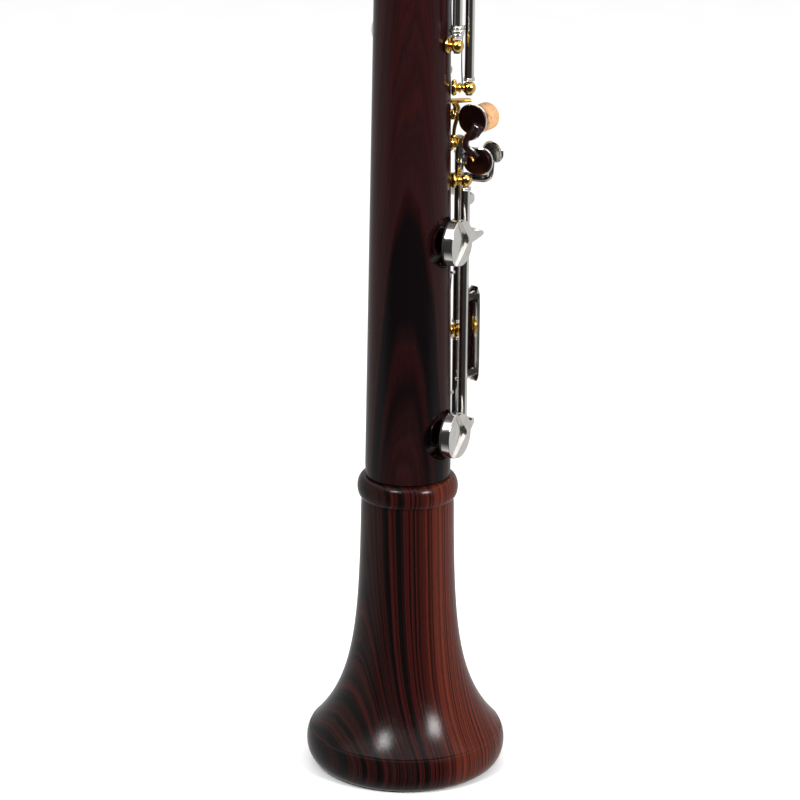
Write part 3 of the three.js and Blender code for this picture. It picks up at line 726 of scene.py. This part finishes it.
def tone_hole(cup, surface):
    """What is cut away round a tone hole: the recess with its rounded edge, and the hole through its seat."""
    seat, hole, z = cup["seat"], cup["hole"], cup["z"]
    sides = TONE_HOLE["sides"]
    rounding = TONE_HOLE["rounding"]
    recess = cup["radius"] + TONE_HOLE["margin"]
    well = [
        (0, seat), (hole + 0.9, seat), (hole + 1.2, seat - 0.25), (hole + 1.2, seat - 1),
        (recess - 0.4, seat - 1), (recess, seat - 0.6),
    ]
    edge = []
    for turn in (0, 22, 45, 68):
        x, y = circle(math.radians(turn))
        edge.append((recess + rounding - rounding * x, rounding * y - rounding))
    edge.append((recess + rounding + 0.3, 0.6))

    def on_wood(radius, rise):
        """A ring that follows the round wood, at a height over it."""
        def point(turn):
            offset = radius * math.cos(turn)
            wood = math.sqrt(max(surface ** 2 - offset ** 2, 1))
            level = max(wood + rise, seat - 0.6 + 0.01 * (rise + rounding))
            return offset, radius * math.sin(turn), level
        return point

    corners = []
    rows = [turned_row(corners, sides, radius, height) for radius, height in well]
    rows += [ring_row(corners, sides, on_wood(radius, rise)) for radius, rise in edge]
    rows.append(turned_row(corners, sides, 0, surface + 3))
    inside = bore_radius(z)
    start = math.sqrt(inside ** 2 - min(hole, inside - 0.5) ** 2) - 0.4
    drilled = [(0, start), (hole, start), (hole, seat - 0.15), (hole + 0.3, seat + 0.5), (0, seat + 0.5)]
    placing = stood(UP * z, cup["angle"])
    return placed((corners, skin(rows, sides)), placing), placed(turned(drilled, 64), placing)


def carve_tone_holes(made, low, high):
    """Recesses first and bores after, so that no two cutters of one cut overlap."""
    recesses = []
    bores = []
    for cup in [*(key["cup"] for key in KEYS.values() if "cup" in key), thumb_octave_cup()]:
        if low < cup["z"] < high:
            recess, bore = tone_hole(cup, wood_radius(cup["z"]))
            recesses.append(recess)
            bores.append(bore)
    carve(made, recesses)
    carve(made, bores)


def stepped(low, high):
    """Heights from low to high, no more than a ring's step apart."""
    count = math.ceil((high - low) / RING_STEP)
    return [low + (high - low) * step / count for step in range(count + 1)]


def lower_joint():
    shoulder = BELL_TOP + GAP
    end = shoulder - TENON_LENGTH
    socket_floor = LOWER_TOP - TENON_LENGTH - GAP
    outline = [(13.55, shoulder), (13.8, shoulder + 0.25)]
    outline += [(between(LOWER_OUTLINE, z), z) for z in stepped(104, 326)]
    for step in range(1, 8):
        share = step / 8
        outline.append((12 + 1.2 * (3 * share ** 2 - 2 * share ** 3), 326 + 7 * share))
    outline += [(13.2, z) for z in stepped(333, LOWER_TOP - 0.3)]
    outline.append((12.9, LOWER_TOP))
    inside = [(LOWER_SOCKET["radius"], LOWER_TOP), (LOWER_SOCKET["radius"], socket_floor)]
    inside += [(bore_radius(z), z) for z in reversed(stepped(end, socket_floor))]
    profile = tenon(BELL_SOCKET, shoulder) + outline + inside
    made = piece("lower_joint_wood", [turned(profile, WOOD_SIDES, closed=True)], LOWER_WOOD, "body",
                 "rosewood", "lower_joint")
    carve_tone_holes(made, BELL_TOP, LOWER_TOP)


def upper_joint():
    shoulder = LOWER_TOP + GAP
    end = shoulder - TENON_LENGTH
    well_floor = UPPER_TOP - REED_WELL["depth"] - GAP
    outline = [(12.0, shoulder), (12.2, shoulder + 0.3)]
    outline += [(between(UPPER_OUTLINE, z), z) for z in stepped(354, 556)]
    finial = [
        (10.35, 558), (10.0, 558.6), (10.0, 559.2), (10.5, 560), (11.6, 566), (12, 571.5), (11.8, 575.5),
        (11.2, 578), (10.3, 578.8), (10.2, 579.6), (10.5, 580.4), (10.1, 582.8), (9.2, 584.6), (8.6, 585),
    ]
    outline += [tuple(station) for station in smooth_stations(finial, 4)]
    inside = [(REED_WELL["cut"], UPPER_TOP), (REED_WELL["cut"], well_floor)]
    inside += [(bore_radius(z), z) for z in reversed(stepped(end, well_floor))]
    profile = tenon(LOWER_SOCKET, shoulder) + outline + inside
    made = piece("upper_joint_wood", [turned(profile, WOOD_SIDES, closed=True)], UPPER_WOOD, "body",
                 "rosewood", "upper_joint")
    carve_tone_holes(made, LOWER_TOP, UPPER_TOP)


def reed_well_liner():
    floor = UPPER_TOP - REED_WELL["depth"]
    inner, outer = REED_WELL["inner"], REED_WELL["liner"]
    profile = [(inner, floor), (outer, floor), (outer, UPPER_TOP + GAP), (5.9, UPPER_TOP + GAP),
               *arc(5.95, UPPER_TOP + GAP + 0.4, 0.4, -70, 80), (inner + 0.4, UPPER_TOP + 1.05),
               (inner, UPPER_TOP + 0.7)]
    piece("reed_well_metal", [turned(profile, 96, closed=True)], SILVER, "body", "silver", "reed_well_liner")


def socket_ring():
    inner, outer, bead = SOCKET_RING["inner"], SOCKET_RING["outer"], SOCKET_RING["bead"]
    low = LOWER_TOP - SOCKET_RING["height"]
    beads = [
        (outer, low + 0.2), *arc(outer - 0.05, low + 0.75, bead, -60, 60), (outer, low + 1.3),
        (outer, low + 3.7), *arc(outer - 0.05, low + 4.25, bead, -60, 60), (outer, LOWER_TOP - 0.15),
    ]
    profile = [(inner, low), *beads, (inner, LOWER_TOP)]
    piece("socket_ring_metal", [turned(profile, 128, closed=True)], SILVER, "body", "silver", "socket_ring")


# ---- rods and posts ----
def post(height):
    """A turned post from the wood up to its ball, whose middle is at the rod's height."""
    room = height - BALL_RADIUS * 0.75
    bead = min(0.85, room * 0.3)
    ball = BALL_RADIUS
    ring_at = min(room - bead * 0.3, bead * 2 + 0.75)
    profile = [(0, 0.1), (2.0, 0.1), *arc(2.6 - bead, 0.12 + bead, bead, -80, 70, 8), (1.25, bead * 2 + 0.15)]
    if room > 2.6:
        profile += arc(1.25, ring_at + 0.25, 0.42, -70, 70, 6)
        profile += [(1.0, ring_at + 0.9), (1.0, room - 0.1)]
    start = -math.degrees(math.acos(min(1.0, 1.1 / ball)))
    profile += arc(0, height, ball, start, 88, 20)
    profile.append((0, height + ball))
    return turned(profile, 48)


def steel_rod(name, low, high, placing, node):
    """The steel in a rod's tubes, with a slotted screw head at each end."""
    shaft = turned([(0, low), (STEEL_RADIUS, low), (STEEL_RADIUS, high), (0, high)], 32)
    shapes = [placed(shaft, placing)]
    for z, turn in ((high, 0), (low, math.pi)):
        head = placing @ Matrix.Translation((0, 0, z)) @ Matrix.Rotation(turn, 4, "X")
        shapes += slotted_screw(SCREW["radius"], SCREW["rise"], head)
    piece(name, shapes, STEEL, "body", "silver", node)


def rod(name, row):
    angle, radius, posts = row["angle"], row["radius"], row["posts"]
    shapes = []
    for z in posts:
        surface = wood_radius(z)
        shapes.append(placed(post(radius - surface), stood(on_body(angle, surface, z), angle)))
    piece(name + "_posts", shapes, GOLD, "body", "gilt", name)
    steel_rod(name + "_steel", posts[0], posts[-1], Matrix.Translation(on_body(angle, radius, 0)), name)


def needle_spring(name, axis, z_from, z_to):
    """A tapered needle spring from its post to the catch on the tube, bowed a little towards the wood."""
    out = axis.normalized()
    side = UP.cross(out)
    stations = []
    for share in (0, 0.25, 0.5, 0.75, 1):
        bow = SPRING["bow"] * math.sin(math.pi * share)
        place = axis - out * (SPRING["inward"] + bow) + side * 0.9 * (1 - share)
        width = SPRING["thick"] - SPRING["taper"] * share
        stations.append((place.x, place.y, z_from + (z_to - z_from) * share, width, width))
    piece(name, [swept(stations, across=side, steps=4, sides=10, power=2)], BLUED, "body", "silver")


# ---- keys ----
def cup_shape(cup):
    """A cup with its rolled rim, its band and its lid: a pointed lid, or a dished finger plate."""
    radius, band = cup["radius"], cup["band"]
    skirt = -0.7
    wall = radius - 0.35
    outside = [(wall, skirt), (radius - 0.08, skirt), (radius, skirt + 0.1), (radius, band - 0.3)]
    if cup["kind"] == "plate":
        top = [
            *arc(radius - 0.35, band - 0.3, 0.35, 0, 90), (radius - 0.9, band - 0.02),
            (radius - 1.4, band - 0.28), (radius * 0.4, band - 0.42), (1.5, band - 0.42),
            (1.2, band - 0.2), (0.95, band - 0.2), (0.7, band - 0.5), (0, band - 0.55),
        ]
    else:
        dome = [(radius * share, band + 0.25 * (1 - share ** 2)) for share in (0.94, 0.8, 0.6, 0.4, 0.2)]
        top = [*arc(radius - 0.22, band - 0.22, 0.22, 0, 75, 4), *dome, (0, band + 0.25)]
    return turned([(0, 0), (wall, 0), *outside, *top], CUP_SIDES)


def arm_foot(cup):
    """The swallow-tailed foot of a cup's arm, soldered to the lid: two wings that open away from the rod."""
    scale = cup["radius"] / LARGE_CUP["radius"]
    band = cup["band"]
    reach = cup["radius"] - 0.25
    notch = [(1.4, 4.3), (3.4, 1.9), (4.9, 0.3), (3.2, -1.6), (0.6, -3.6), (-1.6, -5.2), (-3.4, -6.4)]
    notch = [(x * scale, min(y * scale, reach)) for x, y in notch]
    start = math.degrees(math.atan2(notch[-1][1], notch[-1][0]))
    outline = notch + arc(0, 0, reach, start, 97, 24)

    def lift(x):
        return band + 0.55 + 0.11 * (x + 4 * scale)

    corners = [(x, y, band - 0.1) for x, y in outline]
    corners += [(x, y, lift(x) - 0.12) for x, y in outline]
    corners += [(x * 0.985, y * 0.985, lift(x)) for x, y in outline]
    count = len(outline)
    rows = [range(row * count, (row + 1) * count) for row in range(3)]
    return corners, [tuple(rows[0]), tuple(rows[2]), *skin(rows, count)]


def pad_shape(cup):
    """A pad with a bulging edge and the ring that its seat has pressed into it."""
    radius = cup["radius"] - 0.5
    press = cup["hole"] + 0.6
    bottom = [
        (0, 0.05), (press - 0.6, 0.05), (press - 0.25, 0.14), (press + 0.25, 0.14), (press + 0.6, 0.05),
        (radius - 0.5, 0.05),
    ]
    edge = arc(radius - 0.42, 0.52, 0.5, -75, 60, 8)
    return turned([*bottom, *edge, (radius - 0.1, PAD_THICKNESS), (0, PAD_THICKNESS)], CUP_SIDES)


def cup_floor(cup):
    return cup["seat"] + GAP + PAD_THICKNESS + GAP


def joint_of(name):
    return next(joint for joint in frame["joints"] if joint["child"] == name)


def axis_of(name):
    """The foot of a key's hinge line."""
    x, y, _ = joint_of(name)["pos_m"]
    return Vector((x, y, 0)) / MM


def rest_turn(name):
    """A key that rests open is drawn closed and turned back from its joint's far limit."""
    if name not in RESTS_OPEN:
        return Matrix.Identity(4)
    joint = joint_of(name)
    opens = Matrix.Rotation(-math.radians(joint["range_deg"][1]), 4, Vector(joint["axis"]))
    axis = Vector(joint["pos_m"]) / MM
    return Matrix.Translation(axis) @ opens @ Matrix.Translation(-axis)


def station(point, width, thickness):
    return (*point, width, thickness)


def arm_root(axis, toward, z):
    away = Vector((toward.x - axis.x, toward.y - axis.y, 0)).normalized()
    return Vector((axis.x, axis.y, z)) + away * (TUBE["outer"] - 0.7)


def cup_arm(axis, rod_angle, cup):
    """An arched arm: broad on the tube, thin over its crest, and wide again where it meets the cup."""
    pointed = cup["kind"] == "pointed"
    size = min(1.0, 0.45 + cup["radius"] / 13)
    crest_angle = rod_angle + (cup["angle"] - rod_angle) * cup.get("crest", 0.45)
    crest = on_body(crest_angle, cup["arch"], cup["z"] + cup.get("rise", 0))
    foot = stood(on_body(cup["angle"], cup_floor(cup), cup["z"]), cup["angle"])
    toward = 1 if cup["angle"] > rod_angle else -1
    if pointed:
        end = foot @ Vector((toward * 5.6 * size, 0.6 * size, cup["band"] + 1.1))
        widths = [(4.2, 1.7), (2.4, 1.4), (1.1, 0.9), (2.6, 0.8), (3.8, 0.7), (4.6, 0.6)]
    else:
        end = foot @ Vector((0, 0, cup["band"] + cup["lid"] - 0.25))
        widths = [(4.6, 1.7), (3.0, 1.5), (2.5, 1.3), (3.9, 1.05), (3.8, 1.0), (3.4, 0.9)]
    path = smooth_stations([tuple(arm_root(axis, crest, cup["z"])), tuple(crest), tuple(end)], 8)
    root, rise, high, leaf, tip = (Vector(path[i]) for i in (0, 4, 8, 12, 14))
    stops = zip((root, rise, high, leaf, tip, end), widths)
    stations = [station(point, width * size, thickness * size) for point, (width, thickness) in stops]
    return swept(stations, across=UP, steps=8, sides=24, power=2.6)


def touch_shape(touch):
    """A touch piece: a domed plate with round edges, a hollow underside, and ribs where a finger slides."""
    width, height = touch["size"]
    square = touch.get("square", False)
    outline = rounded_box_outline(width / 2, height / 2, 7 if square else 2.25)
    edge = 0.55 / (min(width, height) / 2)
    dome = 0.1 if square else 0.55
    profile = [
        (0, -0.35), (0.5, -0.42), (1 - edge * 1.6, -0.55), (1 - edge, -0.6), (1 - edge * 0.3, -0.42),
        (1, 0), (1 - edge * 0.3, 0.42), (1 - edge, 0.6), (1 - edge * 1.8, 0.6 + dome * 0.25),
        (0.5, 0.6 + dome * 0.75), (0.22, 0.6 + dome * 0.96), (0, 0.6 + dome),
    ]
    corners, faces = turned(profile, 72, outline=outline)
    if square:
        corners = [(x, y, z - x * x * 0.07 + 0.2) for x, y, z in corners]
    placing = stood(from_player(touch["at"]), touch["facing"])
    shapes = [placed((corners, faces), placing)]
    for index in range(touch.get("ribs", 0)):
        x = width * (index + 1) / (touch["ribs"] + 1) - width / 2
        reach = height / 2 * math.sqrt(1 - (2 * x / width) ** 2) - 0.9
        rib = [(x, -reach, 0.72, 0.7, 0.5), (x, 0, 1.15, 1.0, 0.7), (x, reach, 0.72, 0.7, 0.5)]
        shapes.append(placed(swept(rib, across=Vector((1, 0, 0)), steps=6, sides=12, power=2), placing))
    return shapes


def lever_arm(axis, route):
    """A tapered arm that leaves the tube and swells a little where it meets its touch."""
    bends = [from_player(place) for place in route]
    root = arm_root(axis, bends[0], bends[0].z)
    stations = [station(root, 4.2, 1.7)]
    if len(bends) == 1:
        stations.append(station(root.lerp(bends[0], 0.5), 2.6, 1.25))
    stations += [station(bend, 2.7, 1.3) for bend in bends[:-1]]
    stations.append(station(bends[-1], 3.2, 1.0))
    level = all(abs(bend.z - root.z) < 1 for bend in bends)
    return swept(stations, across=UP if level else None, steps=8, sides=24, power=2.6)


def double_collar(z, toward):
    """The outline of two beads at a tube's end, where toward is 1 for up and -1 for down."""
    outer, swell = TUBE["outer"], TUBE["collar"] - TUBE["outer"]
    bead = 0.24
    points = []
    for centre in (bead, bead * 3.4):
        middle = z + toward * centre
        for turn in (-90, -45, 0, 45, 90):
            x, y = circle(math.radians(turn))
            points.append((outer + swell * x, middle + toward * bead * y))
    return points


def hinge_tube(z0, z1):
    """A hinge tube with a double collar at each end."""
    inner = TUBE["inner"]
    profile = [(inner, z0), *double_collar(z0, 1), *reversed(double_collar(z1, -1)), (inner, z1)]
    return turned(profile, TUBE["sides"], closed=True)


def spring_catch(axis, z):
    """The small hook on a tube that the spring's tip bears on."""
    out = axis.normalized()
    root = axis - out * 1.0
    tip = axis - out * (SPRING["inward"] + 0.35)
    stations = [(root.x, root.y, z, 1.5, 1.3), (tip.x, tip.y, z, 1.0, 0.8)]
    return swept(stations, across=UP, steps=3, sides=16, power=2.4)


def cup_and_arm(axis, rod_angle, cup):
    seated = stood(on_body(cup["angle"], cup_floor(cup), cup["z"]), cup["angle"])
    shapes = [placed(cup_shape(cup), seated), cup_arm(axis, rod_angle, cup)]
    if cup["kind"] == "pointed":
        away = Matrix.Rotation(0 if cup["angle"] > rod_angle else math.pi, 4, "Z")
        shapes.append(placed(arm_foot(cup), seated @ away))
    return shapes


def key_pad(key_name, cup, turn):
    node = key_name.removesuffix("_key") + "_pad"
    seat = on_body(cup["angle"], cup["seat"] + GAP, cup["z"])
    pad = placed(placed(pad_shape(cup), stood(seat, cup["angle"])), turn)
    piece(node + "_skin", [pad], PAD, key_name, "pad_skin", node)


def key(name, row):
    axis = axis_of(name)
    low_post, high_post = row.get("ends", (True, True))
    low, high = row["tube"]
    z0 = low + (TUBE["end"] if low_post else 0)
    z1 = high - (TUBE["end"] if high_post else 0)
    catch_z = z0 + SPRING["reach"] if low_post else z1 - SPRING["reach"]
    shapes = [raised(hinge_tube(z0, z1), axis.x, axis.y), spring_catch(axis, catch_z)]
    if "cup" in row:
        shapes += cup_and_arm(axis, RODS[row["rod"]]["angle"], row["cup"])
    for touch in row.get("touches", []):
        shapes += touch_shape(touch)
    shapes += [lever_arm(axis, route) for route in row.get("arms", [])]
    turn = rest_turn(name)
    piece(name + "_metal", [placed(shape, turn) for shape in shapes], SILVER, name, "silver", name)
    needle_spring(name + "_spring", axis, low if low_post else high, catch_z)
    if "cup" in row:
        key_pad(name, row["cup"], turn)


def touch_underside(name, body, touch):
    """A dark reddish lining under a little-finger touch: painted shade, with the wood's reflection painted
    into it.
    """
    width, height = touch["size"]
    outline = rounded_box_outline(width / 2, height / 2, 2.25)
    profile = [(0, -0.3), (0.9, -0.45), (0.93, -0.56), (0.91, -0.68), (0.5, -0.64), (0, -0.62)]
    lining = placed(turned(profile, 72, outline=outline), stood(from_player(touch["at"]), touch["facing"]))
    piece(name, [lining], UNDERSIDE_SHADE, body, "silver")


def pinky_link():
    """The S-shaped strap that hangs from the C sharp touch and runs behind the low C touch."""
    path = [
        (13.3, 16.2, 215.4), (12.6, 15.6, 213.4), (10.3, 14.7, 211.4),
        (10.3, 14.5, 208.8), (11.8, 15.4, 206.9), (13.2, 16.2, 205.2),
    ]
    widths = [(4.2, 1.0), (4.0, 1.1), (2.5, 1.1), (2.4, 1.1), (3.4, 1.1), (3.6, 0.9)]
    stations = [station(from_player(place), *size) for place, size in zip(path, widths)]
    lug = [station(from_player(place), 2.4, 2.0) for place in ((12.6, 17.0, 214.6), (12.9, 15.9, 214.6))]
    along_touch = from_player((0.966, 0.259, 0))
    shapes = [swept(stations, across=along_touch, sides=24), swept(lug, across=UP, steps=3, power=4)]
    piece("pinky_link_strap", shapes, SILVER, "c_sharp_key", "silver")


def pinky_leaf():
    """The leaf-shaped finger that stands up from the low C key's tube."""
    path = [(8.3, 15.2, 211.9), (7.8, 14.7, 210), (7.5, 14.5, 206.8), (6.7, 15.1, 203)]
    widths = [(0.5, 0.5), (1.8, 0.7), (2.6, 0.8), (2.0, 0.9)]
    stations = [station(from_player(place), *size) for place, size in zip(path, widths)]
    leaf = swept(stations, across=from_player((0.707, 0.707, 0)), power=2.4)
    piece("pinky_leaf_finger", [leaf], SILVER, "low_c_key", "silver")


def trill_collar():
    """The beaded collar on the lower end of the trill key's tube."""
    axis = axis_of("lower_trill_key")
    low = RODS["lower_trill_rod"]["posts"][0] + 3.2
    profile = [(1.2, low)]
    for index, reach in enumerate((2.2, 2.6, 2.2)):
        profile += arc(reach - 0.55, low + 0.6 + 1.1 * index, 0.55, -80, 80, 8)
    profile.append((1.2, low + 3.4))
    collar = turned(profile, 64, closed=True)
    piece("lower_trill_key_collar", [raised(collar, axis.x, axis.y)], SILVER, "lower_trill_key", "silver")


def pinky_cork():
    radius, thickness = PINKY_CORK["radius"], PINKY_CORK["thickness"]
    edge = 0.5
    profile = [(0, 0), (radius - edge, 0), *arc(radius - edge, edge, edge, -60, 0, 4),
               *arc(radius - edge, thickness - edge, edge, 0, 80, 5), (radius * 0.5, thickness + 0.05),
               (0, thickness)]
    cork = placed(turned(profile, 64), stood(from_player(PINKY_CORK["at"]), PINKY_CORK["facing"]))
    piece("pinky_cork_block", [cork], CORK, "c_sharp_key", "cork", "pinky_cork")


# ---- thumb pieces ----
def thumb_octave_cup():
    return {**VENT_CUP, "angle": 180, "z": THUMB_OCTAVE["vent_z"], "seat": THUMB_OCTAVE["seat"]}


def thumb_octave():
    z, back, half_span = THUMB_OCTAVE["z"], THUMB_OCTAVE["back"], THUMB_OCTAVE["half_span"]
    along = Matrix.Translation((0, back, z)) @ Matrix.Rotation(math.pi / 2, 4, "Y")
    foot = math.sqrt(wood_radius(z) ** 2 - half_span ** 2) - 0.6
    posts = [placed(post(back - foot), stood(Vector((side * half_span, foot, z)), 180)) for side in (-1, 1)]
    piece("thumb_octave_posts", posts, GOLD, "body", "gilt", "thumb_octave_rod")
    steel_rod("thumb_octave_steel", -half_span, half_span, along, "thumb_octave_rod")
    cup = thumb_octave_cup()
    half = half_span - TUBE["end"]
    top = cup_floor(cup) + cup["band"]
    touch_z = THUMB_OCTAVE["touch_z"]
    up_arm = [(0, back, z + 1, 3.4, 1.6), (0, back + 1.5, z + 7, 2.4, 1.2), (0, top, cup["z"], 1.2, 0.8)]
    down_arm = [
        (0, back, z - 1, 3.4, 1.6), (0, back + 2.4, z - 7, 2.8, 1.2), (0, back + 1, touch_z, 3.2, 1.0),
    ]
    shapes = [placed(hinge_tube(-half, half), along)]
    shapes += [swept(arm, across=Vector((1, 0, 0))) for arm in (up_arm, down_arm)]
    shapes.append(placed(cup_shape(cup), stood(Vector((0, cup_floor(cup), cup["z"])), 180)))
    shapes += touch_shape({"at": (0, -back - 1, touch_z), "facing": 180, "size": (10, 12)})
    piece("thumb_octave_metal", shapes, SILVER, "thumb_octave_key", "silver", "thumb_octave_key")
    key_pad("thumb_octave_key", cup, Matrix.Identity(4))


def thumb_rest():
    """A plate with its hook for the right thumb, held by two screws."""
    z, width, length = THUMB_REST["z"], THUMB_REST["width"], THUMB_REST["length"]
    thickness = THUMB_REST["thickness"]
    back = wood_radius(z) + GAP
    outline = rounded_box_outline(width / 2, length / 2, 5)
    profile = [(0, 0), (0.95, 0), (1, 0.2), (1, thickness * 0.6), (0.93, thickness), (0, thickness)]
    face = stood(Vector((0, back, z)), 180)
    root = back + thickness / 2
    wide = THUMB_REST["hook_width"]
    hook = [
        (0, root, z, wide - 1, 2.6), (0, root + 4, z - 0.9, wide - 0.6, 1.9),
        (0, root + 9.5, z - 1.5, wide, 1.8), (0, root + 13, z - 0.4, wide, 1.8),
        (0, root + 14.6, z + 1.2, wide - 0.8, 1.4),
    ]
    plate = placed(turned(profile, 96, outline=outline), face)
    shapes = [plate, swept(hook, across=Vector((1, 0, 0)), sides=32, power=3.5)]
    piece("thumb_rest_plate", shapes, GOLD, "body", "gilt", "thumb_rest")
    screws = []
    for rise in (-9, 9):
        screws += slotted_screw(1.7, 0.7, stood(Vector((0, back + thickness - 0.1, z + rise)), 180))
    piece("thumb_rest_screws", screws, STEEL, "body", "silver")


def pinky_bracket():
    """The gilt bracket by the little-finger keys: a flat shelf on a scroll, with a stem down the wood."""
    angle, low = PINKY_BRACKET["angle"], PINKY_BRACKET["low"]
    shelf = (PINKY_BRACKET["top"] + PINKY_BRACKET["shelf"]) / 2
    reach, shelf_reach = PINKY_BRACKET["reach"], PINKY_BRACKET["shelf_reach"]
    root = wood_radius(low) + GAP
    side = UP.cross(outward(angle))

    def bar(points, power=2.6):
        stations = [station(on_body(angle, radius, z), width, depth) for radius, z, width, depth in points]
        return swept(stations, across=side, sides=20, power=power)

    shapes = [
        bar([(root, shelf, 3.6, 1.1), (shelf_reach - 2, shelf, 3.4, 1.0), (shelf_reach, shelf, 3.0, 0.9)], 4),
        bar([(reach - 0.8, shelf - 0.8, 1.9, 1.0), (reach - 0.2, shelf - 2.2, 2.2, 1.1),
             (reach - 0.8, shelf - 3.7, 2.2, 1.1), (reach - 1.6, shelf - 3.0, 1.7, 0.9),
             (reach - 1.2, shelf - 2.1, 1.3, 0.7)]),
        bar([(root + 0.9, shelf - 0.9, 2.2, 1.1), (root + 1.5, shelf - 2.4, 2.4, 1.2),
             (root + 0.8, shelf - 4, 2.2, 1.1), (root + 0.3, shelf - 3, 1.6, 0.9)]),
        bar([(reach - 0.9, shelf - 3.8, 1.9, 1.1), (root + 2.0, shelf - 5.6, 2.0, 1.1),
             (root + 1.3, shelf - 8.6, 1.8, 1.1), (root + 1.0, low, 1.4, 1.0)]),
    ]
    ball = turned([(0, -0.9), *arc(0, 0, 0.9, -80, 80, 10), (0, 0.9)], 24)
    for radius, z in ((root + 1.0, low + 0.4), (reach - 0.9, shelf - 2.3), (root + 1.2, shelf - 4.6)):
        shapes.append(placed(ball, Matrix.Translation(on_body(angle, radius, z))))
    piece("pinky_bracket_scroll", shapes, GOLD, "body", "gilt", "pinky_bracket")


# ---- the scene round it ----
def camera():
    lens = bpy.data.cameras.new("camera")
    made = linked("camera", lens)
    lens.sensor_width = 36
    lens.lens = CAMERA["lens"]
    lens.clip_start = 0.05
    lens.clip_end = 100
    pitch = math.radians(CAMERA["pitch"])
    ahead = -VIEW_FROM * math.cos(pitch) - UP * math.sin(pitch)
    facing = Matrix((VIEW_RIGHT, VIEW_RIGHT.cross(ahead), -ahead)).transposed().to_4x4()
    yaw = Matrix.Rotation(math.radians(CAMERA["yaw"]), 4, "Y")
    roll = Matrix.Rotation(math.radians(CAMERA["roll"]), 4, "Z")
    place = Matrix.Translation(VIEW_FROM * CAMERA["distance"] + UP * CAMERA["height"])
    made.matrix_world = place @ facing @ yaw @ roll
    bpy.context.scene.camera = made


def softbox(name, side_turn, elevation, distance, size, power):
    """An area light, placed by its turn to the right of the view and its height over the horizon."""
    light = bpy.data.lights.new(name, "AREA")
    light.size = size
    light.energy = power
    turn = math.radians(side_turn)
    rise = math.radians(elevation)
    level = VIEW_FROM * math.cos(turn) + VIEW_RIGHT * math.sin(turn)
    direction = level * math.cos(rise) + UP * math.sin(rise)
    made = linked(name, light)
    made.location = direction * distance + UP * 0.08
    made.rotation_euler = direction.to_track_quat("Z", "Y").to_euler()


def studio():
    """Pale surroundings with a wide dark gap on one side, so that the metal has something dark to reflect."""
    world = bpy.data.worlds.new("studio")
    bpy.context.scene.world = world
    world.use_nodes = True
    tree = world.node_tree
    direction = add(tree, "ShaderNodeTexCoord").outputs["Generated"]
    front = add(tree, "ShaderNodeVectorMath", {0: direction, 1: tuple(VIEW_FROM)}, operation="DOT_PRODUCT")
    overhead = add(tree, "ShaderNodeVectorMath", {0: direction, 1: (0, 0, 1)}, operation="DOT_PRODUCT")
    walls = ramp(tree, front.outputs["Value"], [(0.2, 0.58), (0.62, 0.035)])
    ceiling = ramp(tree, overhead.outputs["Value"], [(0.5, 0), (0.8, 1)])
    dim = mixed(tree, ceiling, walls, (0.35, 0.35, 0.36, 1))
    seen = add(tree, "ShaderNodeLightPath").outputs["Is Camera Ray"]
    background = tree.nodes["Background"]
    tree.links.new(mixed(tree, seen, dim, (1, 1, 1, 1)), background.inputs["Color"])
    background.inputs["Strength"].default_value = 1.0
    softbox("key_light", 46, 31, 1.3, 0.3, 16)
    softbox("fill_light", -34, 44, 1.3, 0.26, 11)
    sky = bpy.data.lights.new("sky", "SUN")
    sky.energy = 1.9
    sky.angle = math.radians(100)
    linked("sky", sky)


def floor():
    mesh = bpy.data.meshes.new("floor")
    reach = 40
    corners = [(-reach, -reach, 0), (reach, -reach, 0), (reach, reach, 0), (-reach, reach, 0)]
    mesh.from_pydata(corners, [], [(0, 1, 2, 3)])
    made = linked("floor", mesh)
    mesh.materials.append(floor_material())
    made.visible_glossy = False


camera()
floor()
studio()
bell()
lower_joint()
upper_joint()
tenon_cork("lower_tenon_cork", BELL_SOCKET, BELL_TOP + GAP)
tenon_cork("upper_tenon_cork", LOWER_SOCKET, LOWER_TOP + GAP)
reed_well_liner()
socket_ring()
for rod_name, rod_row in RODS.items():
    rod(rod_name, rod_row)
for key_name, key_row in KEYS.items():
    key(key_name, key_row)
for stem in ("c_sharp", "low_c"):
    touch_underside(stem + "_touch_underside", stem + "_key", KEYS[stem + "_key"]["touches"][0])
pinky_link()
pinky_leaf()
trill_collar()
pinky_cork()
thumb_octave()
thumb_rest()
pinky_bracket()
bpy.context.scene.view_settings.view_transform = "Standard"
